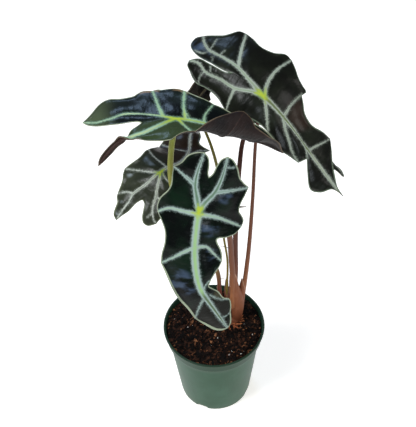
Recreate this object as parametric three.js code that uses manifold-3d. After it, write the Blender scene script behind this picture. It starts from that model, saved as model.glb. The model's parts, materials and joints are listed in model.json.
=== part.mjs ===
// A potted polly alocasia: six arrow-shaped leaves on long stalks, their sheathed crown, potting mix and pot.
// Millimetres, +Z up. The origin is the middle of the pot's underside, which stands on the table.
// The plant's front is towards -Y.

import * as THREE from 'three';
import { mergeVertices } from 'three/addons/utils/BufferGeometryUtils.js';
import Module from 'manifold-3d';

const wasm = await Module();
wasm.setup();

// Pot
const POT_HEIGHT = 106.5;
const RIM_RADIUS = 53;
const BASE_RADIUS = 38;
const POT_WALL = 1.3;
const FLOOR_THICKNESS = 2.5;
const FOOT_CHAMFER = 1.2;
const BAND_HEIGHT = 13;
const BAND_STEP = 2.4;
const BAND_RISE = 0.5;
const LIP_RADIUS = 1;
const POT_SIDES = 44;
const NOTCH_COUNT = 4;
const NOTCH_WIDTH = 12;
const NOTCH_HEIGHT = 5.5;
const NOTCH_DEPTH = 6;
const FIRST_NOTCH_TURN = -114;
const CUT_OVER = 1;

// Potting mix
const SOIL_LEVEL = 101;
const SOIL_LUMP = 1.1;
const SOIL_CROWN = 1.2;
const SOIL_SIDES = 36;
const SOIL_RINGS = 7;
const SOIL_EASE = 0.4;
const HOLE_SIDES = 20;

// Crown, the sheathed foot that all the stalks grow from
const NECK = [19, 8];
const NECK_RADIUS = 6.6;
const NECK_BOTTOM = 80;
const NECK_TOP = 109;
const NECK_TAPER = 0.8;
const NECK_SIDES = 16;
const SHEATH_FOOT = 106;
const SHEATH_FOOT_RADIUS = 4;
const SHEATH_LEAN = 0.25;
const SHEATH_BELLY = 0.35;
const SHEATH_WALLS = [1.6, 1.1, 0.75];
const SHEATH_REACH = 0.45;
const SHEATH_SIDES = 8;
const SHEATH_STEPS = 5;
const THIN_STALK = 2.4;
const FAN_PATH = [
  [22.5, 7.5, 105], [24, 7.8, 112], [24.6, 8, 122], [24.6, 8.3, 134], [22.7, 8, 150], [21, 7.5, 166],
  [20.4, 6.8, 186],
];
const FAN_RADII = [5.8, 6, 6.7, 7.2, 6.8, 5.8, 4.6, 3.9, 3.4];
const WING_PATH = [[24.5, 8.5, 112], [26.5, 9.3, 126], [28.4, 10.5, 140], [30.3, 12, 154], [32, 13.5, 166]];
const WING_RADII = [5, 5, 4.6, 3.6, 2.6];
const FAN_FLATNESS = 0.78;
const FAN_SIDES = 14;
const FAN_STEPS = 10;

// Leaves
const BLADE_THICKNESS = 0.9;
const RIB_EDGE = 2.2;
const MIDRIB_RISE = 0.5;
const MIDRIB_KEEL = 1.5;
const LATERAL_RISE = 0.35;
const LATERAL_KEEL = 0.8;
const QUILT = 1.8;
const QUILT_REACH = 1.15;
const EDGE_CURL = 2.4;
const OUT_STEPS = [0, 0.08, 0.3, 0.55, 0.8, 1];
const STALK_SIDES = 8;
const STALK_STEPS = 14;
const STALK_CLEARANCE = 0.7;

const GAP = 0.3;

// Finishes
const BLADE_GREEN = { color: 0x10201a, roughness: 0.35, metalness: 0 };
const STALK_BROWN = { color: 0x6b3f30, roughness: 0.5, metalness: 0 };
const STALK_OLIVE = { color: 0x8a8a3c, roughness: 0.5, metalness: 0 };
const SHEATH_PINK = { color: 0x9a5a48, roughness: 0.6, metalness: 0 };
const SOIL_BROWN = { color: 0x2a1710, roughness: 0.95, metalness: 0 };
const POT_GREEN = { color: 0x3f5c4c, roughness: 0.45, metalness: 0 };

const part = new THREE.Group();

function place(name, geometry, finish) {
  const mesh = new THREE.Mesh(geometry, new THREE.MeshStandardMaterial(finish));
  mesh.name = name;
  part.add(mesh);
}

function meshGeometry(positions, triangles) {
  const geometry = new THREE.BufferGeometry();
  geometry.setAttribute('position', new THREE.Float32BufferAttribute(positions, 3));
  geometry.setIndex(triangles);
  return geometry;
}

function toSolid(geometry) {
  const bare = geometry.clone();
  bare.deleteAttribute('normal');
  bare.deleteAttribute('uv');
  const merged = mergeVertices(bare, 1e-4);
  const mesh = new wasm.Mesh({
    numProp: 3,
    vertProperties: new Float32Array(merged.attributes.position.array),
    triVerts: new Uint32Array(merged.index.array),
  });
  return new wasm.Manifold(mesh);
}

function toGeometry(solid) {
  const mesh = solid.getMesh();
  return meshGeometry(Array.from(mesh.vertProperties), Array.from(mesh.triVerts));
}

// Turned about the pot's upright axis; the profile is a closed loop of [radius, height]
function turned(profile, sides) {
  const points = profile.map(([r, z]) => new THREE.Vector2(r, z));
  points.push(points[0].clone());
  const geometry = new THREE.LatheGeometry(points, sides);
  geometry.rotateX(Math.PI / 2);
  return geometry;
}

function wallRadius(z) {
  return THREE.MathUtils.mapLinear(z, 0, POT_HEIGHT, BASE_RADIUS, RIM_RADIUS - LIP_RADIUS - BAND_STEP);
}

function potGeometry() {
  const bandFoot = POT_HEIGHT - BAND_HEIGHT;
  const bandRadius = wallRadius(POT_HEIGHT) + BAND_STEP;
  const profile = [
    [0, 0],
    [BASE_RADIUS - FOOT_CHAMFER, 0],
    [BASE_RADIUS, FOOT_CHAMFER],
    [wallRadius(bandFoot - BAND_STEP), bandFoot - BAND_STEP],
    [wallRadius(bandFoot) + BAND_STEP, bandFoot],
    [bandRadius, POT_HEIGHT - 2 * LIP_RADIUS],
  ];
  for (let k = 0; k <= 4; k += 1) {
    const turn = -Math.PI / 2 + (Math.PI * k) / 4;
    profile.push([bandRadius + LIP_RADIUS * Math.cos(turn), POT_HEIGHT - LIP_RADIUS * (1 - Math.sin(turn))]);
  }
  profile.push([bandRadius - POT_WALL, POT_HEIGHT]);
  profile.push([wallRadius(bandFoot) + BAND_STEP - POT_WALL, bandFoot + BAND_RISE]);
  profile.push([wallRadius(bandFoot - BAND_STEP) - POT_WALL, bandFoot - BAND_STEP + BAND_RISE]);
  profile.push([wallRadius(FLOOR_THICKNESS) - POT_WALL, FLOOR_THICKNESS]);
  profile.push([0, FLOOR_THICKNESS]);
  let pot = toSolid(turned(profile, POT_SIDES));
  for (let k = 0; k < NOTCH_COUNT; k += 1) {
    const notch = new THREE.BoxGeometry(NOTCH_DEPTH, NOTCH_WIDTH, NOTCH_HEIGHT);
    notch.translate(BASE_RADIUS - NOTCH_DEPTH / 2 + CUT_OVER, 0, NOTCH_HEIGHT / 2 - CUT_OVER);
    notch.rotateZ(THREE.MathUtils.degToRad(FIRST_NOTCH_TURN + (360 * k) / NOTCH_COUNT));
    pot = pot.subtract(toSolid(notch));
  }
  return toGeometry(pot);
}

// The mix fills the pot; its top is a low crown with lumps, and it has a plain hole for the plant's neck
function soilGeometry() {
  const bottom = FLOOR_THICKNESS + GAP;
  const bandFoot = POT_HEIGHT - BAND_HEIGHT;
  const inside = POT_WALL + GAP + SOIL_EASE;
  const topRadius = wallRadius(SOIL_LEVEL) + BAND_STEP - inside;
  const profile = [
    [0, bottom],
    [wallRadius(bottom) - inside, bottom],
    [wallRadius(bandFoot - BAND_STEP) - inside, bandFoot - BAND_STEP],
    [wallRadius(bandFoot) + BAND_STEP - inside, bandFoot + 2 * BAND_RISE],
    [topRadius, SOIL_LEVEL],
  ];
  for (let k = SOIL_RINGS - 1; k >= 0; k -= 1) {
    profile.push([(topRadius * k) / SOIL_RINGS, SOIL_LEVEL]);
  }
  const geometry = turned(profile, SOIL_SIDES);
  const position = geometry.attributes.position;
  for (let i = 0; i < position.count; i += 1) {
    const x = position.getX(i);
    const y = position.getY(i);
    const inner = 1 - Math.min(1, Math.hypot(x, y) / topRadius);
    if (position.getZ(i) > SOIL_LEVEL - 1 && inner > 0.01) {
      const lump = Math.sin(x * 0.31 + 1.3) * Math.sin(y * 0.27 + 0.4) + 0.5 * Math.sin(x * 0.53 - y * 0.61);
      position.setZ(i, SOIL_LEVEL + Math.min(1, inner * 4) * (SOIL_LUMP * lump + SOIL_CROWN * inner));
    }
  }
  const hole = new THREE.CylinderGeometry(NECK_RADIUS + GAP, NECK_RADIUS + GAP, POT_HEIGHT, HOLE_SIDES);
  hole.rotateX(Math.PI / 2);
  hole.translate(NECK[0], NECK[1], NECK_BOTTOM - GAP + POT_HEIGHT / 2);
  return toGeometry(toSolid(geometry).subtract(toSolid(hole)));
}

// A round rod along a smooth curve, closed at both ends; radii run from foot to top
function rod(points, radii, sides, steps) {
  const curve = new THREE.CatmullRomCurve3(points.map((p) => new THREE.Vector3(...p)));
  const frames = curve.computeFrenetFrames(steps, false);
  const positions = [];
  const triangles = [];
  for (let i = 0; i <= steps; i += 1) {
    const centre = curve.getPointAt(i / steps);
    const along = (i / steps) * (radii.length - 1);
    const k = Math.min(Math.floor(along), radii.length - 2);
    const radius = THREE.MathUtils.lerp(radii[k], radii[k + 1], along - k);
    for (let j = 0; j < sides; j += 1) {
      const turn = (2 * Math.PI * j) / sides;
      const spoke = frames.normals[i].clone().multiplyScalar(Math.cos(turn) * radius);
      spoke.addScaledVector(frames.binormals[i], Math.sin(turn) * radius);
      positions.push(centre.x + spoke.x, centre.y + spoke.y, centre.z + spoke.z);
    }
  }
  for (let i = 0; i < steps; i += 1) {
    for (let j = 0; j < sides; j += 1) {
      const a = i * sides + j;
      const b = i * sides + ((j + 1) % sides);
      triangles.push(a, b, b + sides, a, b + sides, a + sides);
    }
  }
  const last = steps * sides;
  for (let j = 1; j < sides - 1; j += 1) {
    triangles.push(0, j + 1, j);
    triangles.push(last, last + j, last + j + 1);
  }
  return meshGeometry(positions, triangles);
}

// Smooth value at u through stations that are unevenly spaced; straight beyond the ends
function through(stations, values, u) {
  const last = stations.length - 1;
  const slope = (i) => {
    const a = Math.max(i - 1, 0);
    const b = Math.min(i + 1, last);
    return values[b].map((value, c) => (value - values[a][c]) / (stations[b] - stations[a]));
  };
  if (u <= stations[0]) return values[0].map((value, c) => value + slope(0)[c] * (u - stations[0]));
  if (u >= stations[last]) {
    return values[last].map((value, c) => value + slope(last)[c] * (u - stations[last]));
  }
  let k = 0;
  while (u > stations[k + 1]) k += 1;
  const span = stations[k + 1] - stations[k];
  const t = (u - stations[k]) / span;
  const before = slope(k);
  const after = slope(k + 1);
  const w0 = 2 * t ** 3 - 3 * t ** 2 + 1;
  const w1 = (t ** 3 - 2 * t ** 2 + t) * span;
  const w2 = 3 * t ** 2 - 2 * t ** 3;
  const w3 = (t ** 3 - t ** 2) * span;
  return values[k].map((value, c) => w0 * value + w1 * before[c] + w2 * values[k + 1][c] + w3 * after[c]);
}

// Where a point of the flat blade lies once the blade hangs: u is along the midrib from the stalk towards
// the tip, v is across it, + on the left; each half leaves the midrib at a fold angle and curls from there
function hang(leaf, u, v) {
  const stations = leaf.spine.map((row) => row.u);
  const at = new THREE.Vector3(...through(stations, leaf.spine.map((row) => row.at), u));
  const ahead = new THREE.Vector3(...through(stations, leaf.spine.map((row) => row.at), u + 0.5));
  const behind = new THREE.Vector3(...through(stations, leaf.spine.map((row) => row.at), u - 0.5));
  const along = ahead.sub(behind).normalize();
  const face = new THREE.Vector3(...through(stations, leaf.spine.map((row) => row.face), u));
  face.addScaledVector(along, -face.dot(along)).normalize();
  const across = new THREE.Vector3().crossVectors(face, along);
  const half = v >= 0 ? 'left' : 'right';
  const [fold, curl] = through(stations, leaf.spine.map((row) => row[half]), u);
  const start = THREE.MathUtils.degToRad(fold);
  const bend = THREE.MathUtils.degToRad(curl) / 10 || 1e-6;
  const width = Math.abs(v);
  const out = (Math.sin(start + bend * width) - Math.sin(start)) / bend;
  const up = (Math.cos(start) - Math.cos(start + bend * width)) / bend;
  at.addScaledVector(across, v >= 0 ? out : -out).addScaledVector(face, up);
  return at;
}

// A basal lobe that is wrung about its own vein: the turn grows from one u to the other
function wrung(leaf, u, v) {
  const point = hang(leaf, u, v);
  const wring = leaf.wring;
  if (!wring || v > 0 || u > wring.from) return point;
  const foot = hang(leaf, ...wring.foot);
  const axis = hang(leaf, ...wring.head).sub(foot).normalize();
  const share = THREE.MathUtils.smoothstep(-u, -wring.from, -wring.to);
  const turn = THREE.MathUtils.degToRad(wring.turn) * share;
  return point.sub(foot).applyAxisAngle(axis, turn).add(foot);
}

function flatCurve(points) {
  return new THREE.CatmullRomCurve3(points.map(([u, v]) => new THREE.Vector3(u, v, 0)), false, 'centripetal');
}

// The blade's main ribs as one line with one measure: minus the distance from the stalk along the midrib,
// which is straight, and plus the distance along the basal vein of one half
class MainRib {
  constructor(basal) {
    this.basal = flatCurve(basal);
    this.end = this.basal.getLength();
  }

  point(measure) {
    if (measure <= 0) return new THREE.Vector3(-measure, 0, 0);
    return this.basal.getPointAt(Math.min(1, measure / this.end));
  }

  // The measure of the foot of a side vein, which lies on the midrib or near the basal vein
  foot([u, v]) {
    if (v === 0) return -u;
    let best = 0;
    let least = Infinity;
    for (let i = 0; i <= 200; i += 1) {
      const gap = Math.hypot(this.basal.getPointAt(i / 200).x - u, this.basal.getPointAt(i / 200).y - v);
      if (gap < least) {
        least = gap;
        best = i / 200;
      }
    }
    return best * this.end;
  }
}

// Where the cross lines of the grid meet a rib: at each side vein's foot, close beside it, and evenly between
function ribStations(feet, spacing) {
  const sorted = [...new Set(feet)].sort((a, b) => a - b);
  const stations = [sorted[0]];
  for (let k = 1; k < sorted.length; k += 1) {
    const span = sorted[k] - sorted[k - 1];
    const edge = Math.min(RIB_EDGE, span / 3);
    const cells = Math.max(1, Math.round((span - 2 * edge) / spacing));
    for (let i = 0; i <= cells; i += 1) stations.push(sorted[k - 1] + edge + ((span - 2 * edge) * i) / cells);
    stations.push(sorted[k]);
  }
  return stations;
}

// Collects the blade's flat points once each, with their lift, rise and keel, and its flat triangles
class Sheet {
  constructor() {
    this.points = [];
    this.index = new Map();
    this.triangles = [];
  }

  add(point) {
    const key = `${Math.round(point.u * 200)},${Math.round(point.v * 200)}`;
    if (!this.index.has(key)) {
      this.index.set(key, this.points.length);
      this.points.push(point);
    }
    return this.index.get(key);
  }

  addTriangle(a, b, c) {
    if (a !== b && b !== c && c !== a) this.triangles.push([a, b, c]);
  }
}

// The ribs' rise above and keel below the blade, which fade towards the margin and the tips
function ribAt(s, t, isVeinA, isVeinB, fade) {
  if (t === 0) return [MIDRIB_RISE * fade, MIDRIB_KEEL * fade];
  const onVein = (s === 0 && isVeinA) || (s === 1 && isVeinB);
  return onVein ? [LATERAL_RISE * (1 - t), LATERAL_KEEL * (1 - 0.8 * t)] : [0, 0];
}

// One field of the blade, between two side veins or between the last vein and a tip, blended from its four
// sides. It swells between the ribs and its free edge curls up
function addField(sheet, field) {
  const { foot, margin, veinA, veinB, measures, turnOver, quilt, fadeAt } = field;
  const first = measures[0];
  const span = measures[measures.length - 1] - first;
  const rows = measures.map((measure) => {
    const s = (measure - first) / span;
    return OUT_STEPS.map((t) => {
      const point = new THREE.Vector3();
      point.addScaledVector(foot(measure), 1 - t).addScaledVector(margin(s), t);
      point.addScaledVector(veinA(t), 1 - s).addScaledVector(veinB(t), s);
      point.addScaledVector(foot(first), -(1 - s) * (1 - t));
      point.addScaledVector(foot(first + span), -s * (1 - t));
      point.addScaledVector(margin(0), -(1 - s) * t).addScaledVector(margin(1), -s * t);
      const [rise, keel] = ribAt(s, t, field.isVeinA, field.isVeinB, fadeAt(measure));
      const swell = Math.sin(Math.PI * s) * quilt;
      const lift = swell * (QUILT * Math.sin(Math.PI * Math.min(1, t * QUILT_REACH)) + EDGE_CURL * t ** 4);
      return sheet.add({ u: point.x, v: point.y, lift, rise, keel });
    });
  });
  for (let i = 0; i + 1 < rows.length; i += 1) {
    for (let j = 0; j + 1 < OUT_STEPS.length; j += 1) {
      const [a, b, c, d] = [rows[i][j], rows[i + 1][j], rows[i + 1][j + 1], rows[i][j + 1]];
      sheet.addTriangle(a, turnOver ? c : b, turnOver ? b : c);
      sheet.addTriangle(a, turnOver ? d : c, turnOver ? c : d);
    }
  }
}

// A curve, or a single point where a field has no vein, as a function of 0..1
function side(points) {
  if (points.length === 1) return () => new THREE.Vector3(points[0].x, points[0].y, 0);
  const curve = flatCurve(points.map((point) => (Array.isArray(point) ? point : [point.x, point.y])));
  return (share) => curve.getPointAt(Math.min(1, share));
}

// One half of the blade: fields from the tip round to the basal lobe, then the strip inside the basal vein
function addHalf(sheet, plan, half, midribStations, spacing) {
  const rib = new MainRib(half.basal);
  const feet = half.veins.map((vein) => rib.foot(vein[0]));
  const basalStations = ribStations([0, ...feet.filter((foot) => foot > 0), rib.end], spacing);
  const stations = [...midribStations.slice(0, -1), ...basalStations];
  const foot = (measure) => rib.point(measure);
  const share = (measure) => (measure < 0 ? -measure / plan.length : measure / rib.end);
  const fadeAt = (measure) => 1 - 0.75 * Math.min(1, share(measure));
  const isLeft = half === plan.left;
  const tip = foot(-plan.length);
  const lobeTip = foot(rib.end);
  const ends = [-plan.length, ...feet, rib.end];
  for (let k = 0; k + 1 < ends.length; k += 1) {
    const isVeinA = k > 0;
    const isVeinB = k < half.veins.length;
    const lineA = isVeinA ? [foot(feet[k - 1]), ...half.veins[k - 1].slice(1)] : [tip];
    const lineB = isVeinB ? [foot(feet[k]), ...half.veins[k].slice(1)] : [lobeTip];
    addField(sheet, {
      foot,
      margin: side([lineA.at(-1), ...half.margins[k], lineB.at(-1)]),
      veinA: side(lineA),
      veinB: side(lineB),
      isVeinA,
      isVeinB,
      measures: stations.filter((measure) => measure >= ends[k] - 1e-6 && measure <= ends[k + 1] + 1e-6),
      turnOver: isLeft,
      quilt: 1,
      fadeAt,
    });
  }
  addField(sheet, {
    foot,
    margin: side([[plan.sinus, 0], ...half.inner, lobeTip]),
    veinA: side([[0, 0], [plan.sinus, 0]]),
    veinB: side([lobeTip]),
    isVeinA: false,
    isVeinB: false,
    measures: basalStations,
    turnOver: !isLeft,
    quilt: 0.5,
    fadeAt,
  });
}

// A closed blade: the sheet hung in space, given its thickness along its normals, and its edge closed
function bladeGeometry(leaf) {
  const sheet = new Sheet();
  const { plan, spacing } = leaf;
  const feet = [...plan.left.veins, ...plan.right.veins].map((vein) => vein[0]);
  const midribFeet = feet.filter(([, v]) => v === 0).map(([u]) => -u);
  const midribStations = ribStations([-plan.length, ...midribFeet, 0], spacing);
  addHalf(sheet, plan, plan.left, midribStations, spacing);
  addHalf(sheet, plan, plan.right, midribStations, spacing);
  const middle = sheet.points.map(({ u, v }) => wrung(leaf, u, v));
  const normals = middle.map(() => new THREE.Vector3());
  for (const [a, b, c] of sheet.triangles) {
    const normal = middle[b].clone().sub(middle[a]).cross(middle[c].clone().sub(middle[a]));
    for (const i of [a, b, c]) normals[i].add(normal);
  }
  const count = sheet.points.length;
  const positions = [];
  for (const side of [1, -1]) {
    sheet.points.forEach(({ lift, rise, keel }, i) => {
      const shift = lift + (side > 0 ? BLADE_THICKNESS / 2 + rise : -BLADE_THICKNESS / 2 - keel);
      const point = middle[i].clone().addScaledVector(normals[i].clone().normalize(), shift);
      positions.push(point.x, point.y, point.z);
    });
  }
  const triangles = [];
  const edges = new Map();
  for (const [a, b, c] of sheet.triangles) {
    triangles.push(a, b, c, a + count, c + count, b + count);
    for (const [p, q] of [[a, b], [b, c], [c, a]]) {
      if (!edges.delete(`${q},${p}`)) edges.set(`${p},${q}`, [p, q]);
    }
  }
  for (const [p, q] of edges.values()) {
    triangles.push(p, p + count, q + count, p, q + count, q);
  }
  return meshGeometry(positions, triangles);
}

// Flat blades, in the leaf's own millimetres: u from the stalk to the tip, v to the left.
// Each side vein ends at a point of the wavy margin; margins lists the points between those ends,
// from the tip round to the basal lobe, and inner goes from the notch to the end of the lobe.
const BACK_PLAN = {
  length: 125,
  sinus: -32,
  left: {
    basal: [[0, 0], [-18, 3], [-31.5, 6.5], [-46, 9], [-66, 12], [-75.5, 18], [-83.5, 26.5]],
    veins: [
      [[63, 0], [66, 10.5], [71.5, 27.5]],
      [[28, 0], [25.5, 12.5], [26, 29.5]],
      [[3, 0], [-3.5, 11], [-6.5, 28.5], [-4, 50]],
      [[-31.5, 6.5], [-39, 22.5], [-47, 44.5]],
    ],
    margins: [
      [[115, 0.8], [109, 2], [102, 5], [88, 12.5], [78.5, 21]],
      [[61.5, 23.5], [49, 16.5], [38.5, 18], [31.5, 24.5]],
      [[27.5, 35], [21, 35.5], [13.5, 37.5], [5.5, 43]],
      [[-11.5, 50], [-19, 40.5], [-29, 37], [-38.5, 41]],
      [[-53.5, 43], [-57.5, 36], [-62, 31], [-73.5, 28]],
    ],
    inner: [[-38.5, -1.5], [-55, 0], [-71.5, 2.5], [-82, 7.5], [-88, 13.5], [-89, 22.5]],
  },
  right: {
    basal: [[0, 0], [-8.5, -3.5], [-22.5, -10.5], [-41, -10], [-59, -8.5], [-67.5, -3.5], [-79.5, -3]],
    veins: [
      [[58, 0], [63, -2], [68, -5]],
      [[28, 0], [36.5, -5], [47, -9], [56.5, -12.5], [66, -13.5]],
      [[3, 0], [15.5, -9], [29, -18.5]],
      [[-22.5, -10.5], [-21.5, -18], [-17.5, -32]],
    ],
    margins: [
      [[115, -0.8], [108, -3.5], [102, -13.5], [93.5, -19], [78, -12]],
      [[66.5, -9]],
      [[58.5, -16], [46, -20], [37, -18]],
      [[15.5, -19.5], [2, -23.5], [-8.5, -30.5]],
      [[-40.5, -24], [-53, -21.5], [-64.5, -20], [-74.5, -12], [-79.5, -7.5]],
    ],
    inner: [[-38.5, -2.5], [-55, -1], [-70, 0.5]],
  },
};

const FRONT_PLAN = {
  length: 130,
  sinus: -31,
  left: {
    basal: [[0, 0], [-8, 3], [-19, 8.5], [-33, 11], [-51, 12]],
    veins: [
      [[113, 0], [116, 4.5], [115, 10.5]],
      [[80, 0], [72, 6], [69, 11.5]],
      [[33, 0], [33, 10], [39.5, 15.5], [51.5, 24]],
      [[3, 0], [4, 15.5], [8, 28], [13.5, 42]],
      [[-19, 8.5], [-23, 22], [-27, 38]],
    ],
    margins: [
      [[124, 5.5]],
      [[107.5, 14.5], [99.5, 16], [95, 12.5], [86, 12], [80, 9.5], [75.5, 7.5]],
      [[60.5, 16.5], [56, 20.5]],
      [[44.5, 24], [37, 22.5], [24.5, 18.5], [23.5, 26.5], [20, 36]],
      [[7, 42], [-3, 35], [-12, 34], [-20, 36]],
      [[-30, 32], [-35, 26], [-43, 22], [-49, 17]],
    ],
    inner: [[-35, 2.6], [-42, 4.2], [-48, 7]],
  },
  right: {
    basal: [[0, 0], [-10, -4], [-21, -9], [-34, -10], [-51, -8]],
    veins: [
      [[85, 0], [91.5, -8.5], [106.5, -21.5]],
      [[33, 0], [38.5, -10.5], [43, -18], [50, -32]],
      [[3, 0], [3, -13.5], [3.5, -25.5], [9, -36.5]],
      [[-21, -9], [-26.5, -21.5], [-30.5, -31.5]],
    ],
    margins: [
      [[129, -5], [125.5, -9.5], [115.5, -15]],
      [[87.5, -21], [79.5, -22.5], [68, -25], [57, -28.5]],
      [[41.5, -29.5], [31, -26], [22, -26.5], [14, -31.5]],
      [[4, -37], [-1.5, -35.5], [-9.5, -29.5], [-14.5, -28.5], [-23, -30.5]],
      [[-38, -25], [-46, -20.5], [-50, -14]],
    ],
    inner: [[-35, -1.4], [-42, -2], [-48, -4]],
  },
};

const SIDE_PLAN = {
  length: 97,
  sinus: -28,
  left: {
    basal: [[0, 0], [-18, 7], [-30, 11], [-42, 13], [-52, 10.5], [-67, 11.5], [-80, 20.5]],
    veins: [
      [[54, 0], [59, 8], [63, 17]],
      [[24, 0], [24, 9], [29.5, 23]],
      [[9, 0], [5.5, 15], [4, 37.5]],
      [[-10, 4], [-12.5, 16.5], [-15.5, 40]],
    ],
    margins: [
      [[88, 5], [76, 12]],
      [[53, 16], [47.5, 17], [40.5, 19]],
      [[25, 24.5], [15, 27], [9, 31]],
      [[0.5, 38.5], [-4.5, 37.5], [-9, 37], [-12, 39.5]],
      [[-24, 40], [-29, 37], [-32, 34], [-42.5, 32.5], [-53.5, 35.5], [-61, 33.5], [-71, 25.5]],
    ],
    inner: [[-31, 1.5], [-37.5, 2], [-45, 1.5], [-54.5, 2.5], [-65, 5.5], [-74.5, 12.5]],
  },
  right: {
    basal: [[0, 0], [-12, -7], [-19.5, -10.5], [-27.5, -14], [-36, -15.5], [-44, -19], [-50, -23], [-60, -27],
         [-73, -30.5]],
    veins: [
      [[62, 0], [69, -12], [74, -27]],
      [[34, 0], [40, -18], [45, -45]],
      [[2, 0], [9.5, -8], [15, -14], [20, -26]],
    ],
    margins: [
      [[91, -8], [84, -19]],
      [[67, -29], [60, -32], [53, -39]],
      [[38, -45], [30, -40]],
      [[8.5, -31], [-3, -30.5], [-13, -29], [-25, -25], [-33, -20], [-38, -19.5], [-44, -22.5], [-50, -26],
      [-60, -30], [-68, -31.5]],
    ],
    inner: [[-31.5, -3.5], [-38, -8.5], [-43, -14], [-50, -20], [-60, -24], [-68, -27.5]],
  },
};

const LOW_PLAN = {
  length: 98,
  sinus: -30,
  left: {
    basal: [[0, 0], [-7.5, 2], [-16.5, 4.5], [-23, 8], [-30, 11.5], [-37, 11.5], [-47, 14.5], [-59, 17]],
    veins: [
      [[48, 0], [48, 12], [59, 28]],
      [[9, 0], [8.5, 13.5], [9, 19.5], [12, 29]],
      [[0, 0], [-4.5, 6], [-8.5, 14], [-12.5, 24], [-16, 33.5]],
      [[-30, 11.5], [-30.5, 16.5], [-36.5, 27]],
    ],
    margins: [
      [[90, 6], [79, 13], [68, 20]],
      [[46, 31], [28, 28.5]],
      [[8, 28], [1.5, 25.5], [-4, 26.5], [-10.5, 30]],
      [[-20, 31], [-24.5, 27.5], [-29.5, 26.5]],
      [[-39, 26], [-43, 22], [-48.5, 21.5], [-55, 21]],
    ],
    inner: [[-31, 1.5], [-36, 4.5], [-44.5, 7.5], [-54, 14]],
  },
  right: {
    basal: [
      [0, 0], [-7.5, -4], [-15, -6.5], [-21.5, -9.5], [-28, -10.5], [-34, -12.5], [-40, -15.5], [-45, -20.5],
    ],
    veins: [
      [[42, 0], [49.5, -7], [53, -19.5]],
      [[2, 0], [-2, -7.5], [-2.5, -15], [-3, -22]],
      [[-21.5, -9.5], [-22, -18], [-20, -28]],
    ],
    margins: [
      [[84, -5], [66, -10], [58, -9], [55, -12.5]],
      [[49.5, -14], [42, -9], [22, -13]],
      [[-6, -24], [-12, -25]],
      [[-30, -24], [-36, -23]],
    ],
    inner: [[-32, -3], [-38, -5], [-45, -7], [-49, -10], [-49.5, -14.5]],
  },
};

// A smaller copy of a flat blade
function shrunk(plan, length, width) {
  const point = ([u, v]) => [u * length, v * width];
  const half = ({ basal, veins, margins, inner }) => ({
    basal: basal.map(point),
    veins: veins.map((vein) => vein.map(point)),
    margins: margins.map((margin) => margin.map(point)),
    inner: inner.map(point),
  });
  return {
    length: plan.length * length,
    sinus: plan.sinus * length,
    left: half(plan.left),
    right: half(plan.right),
  };
}

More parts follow.
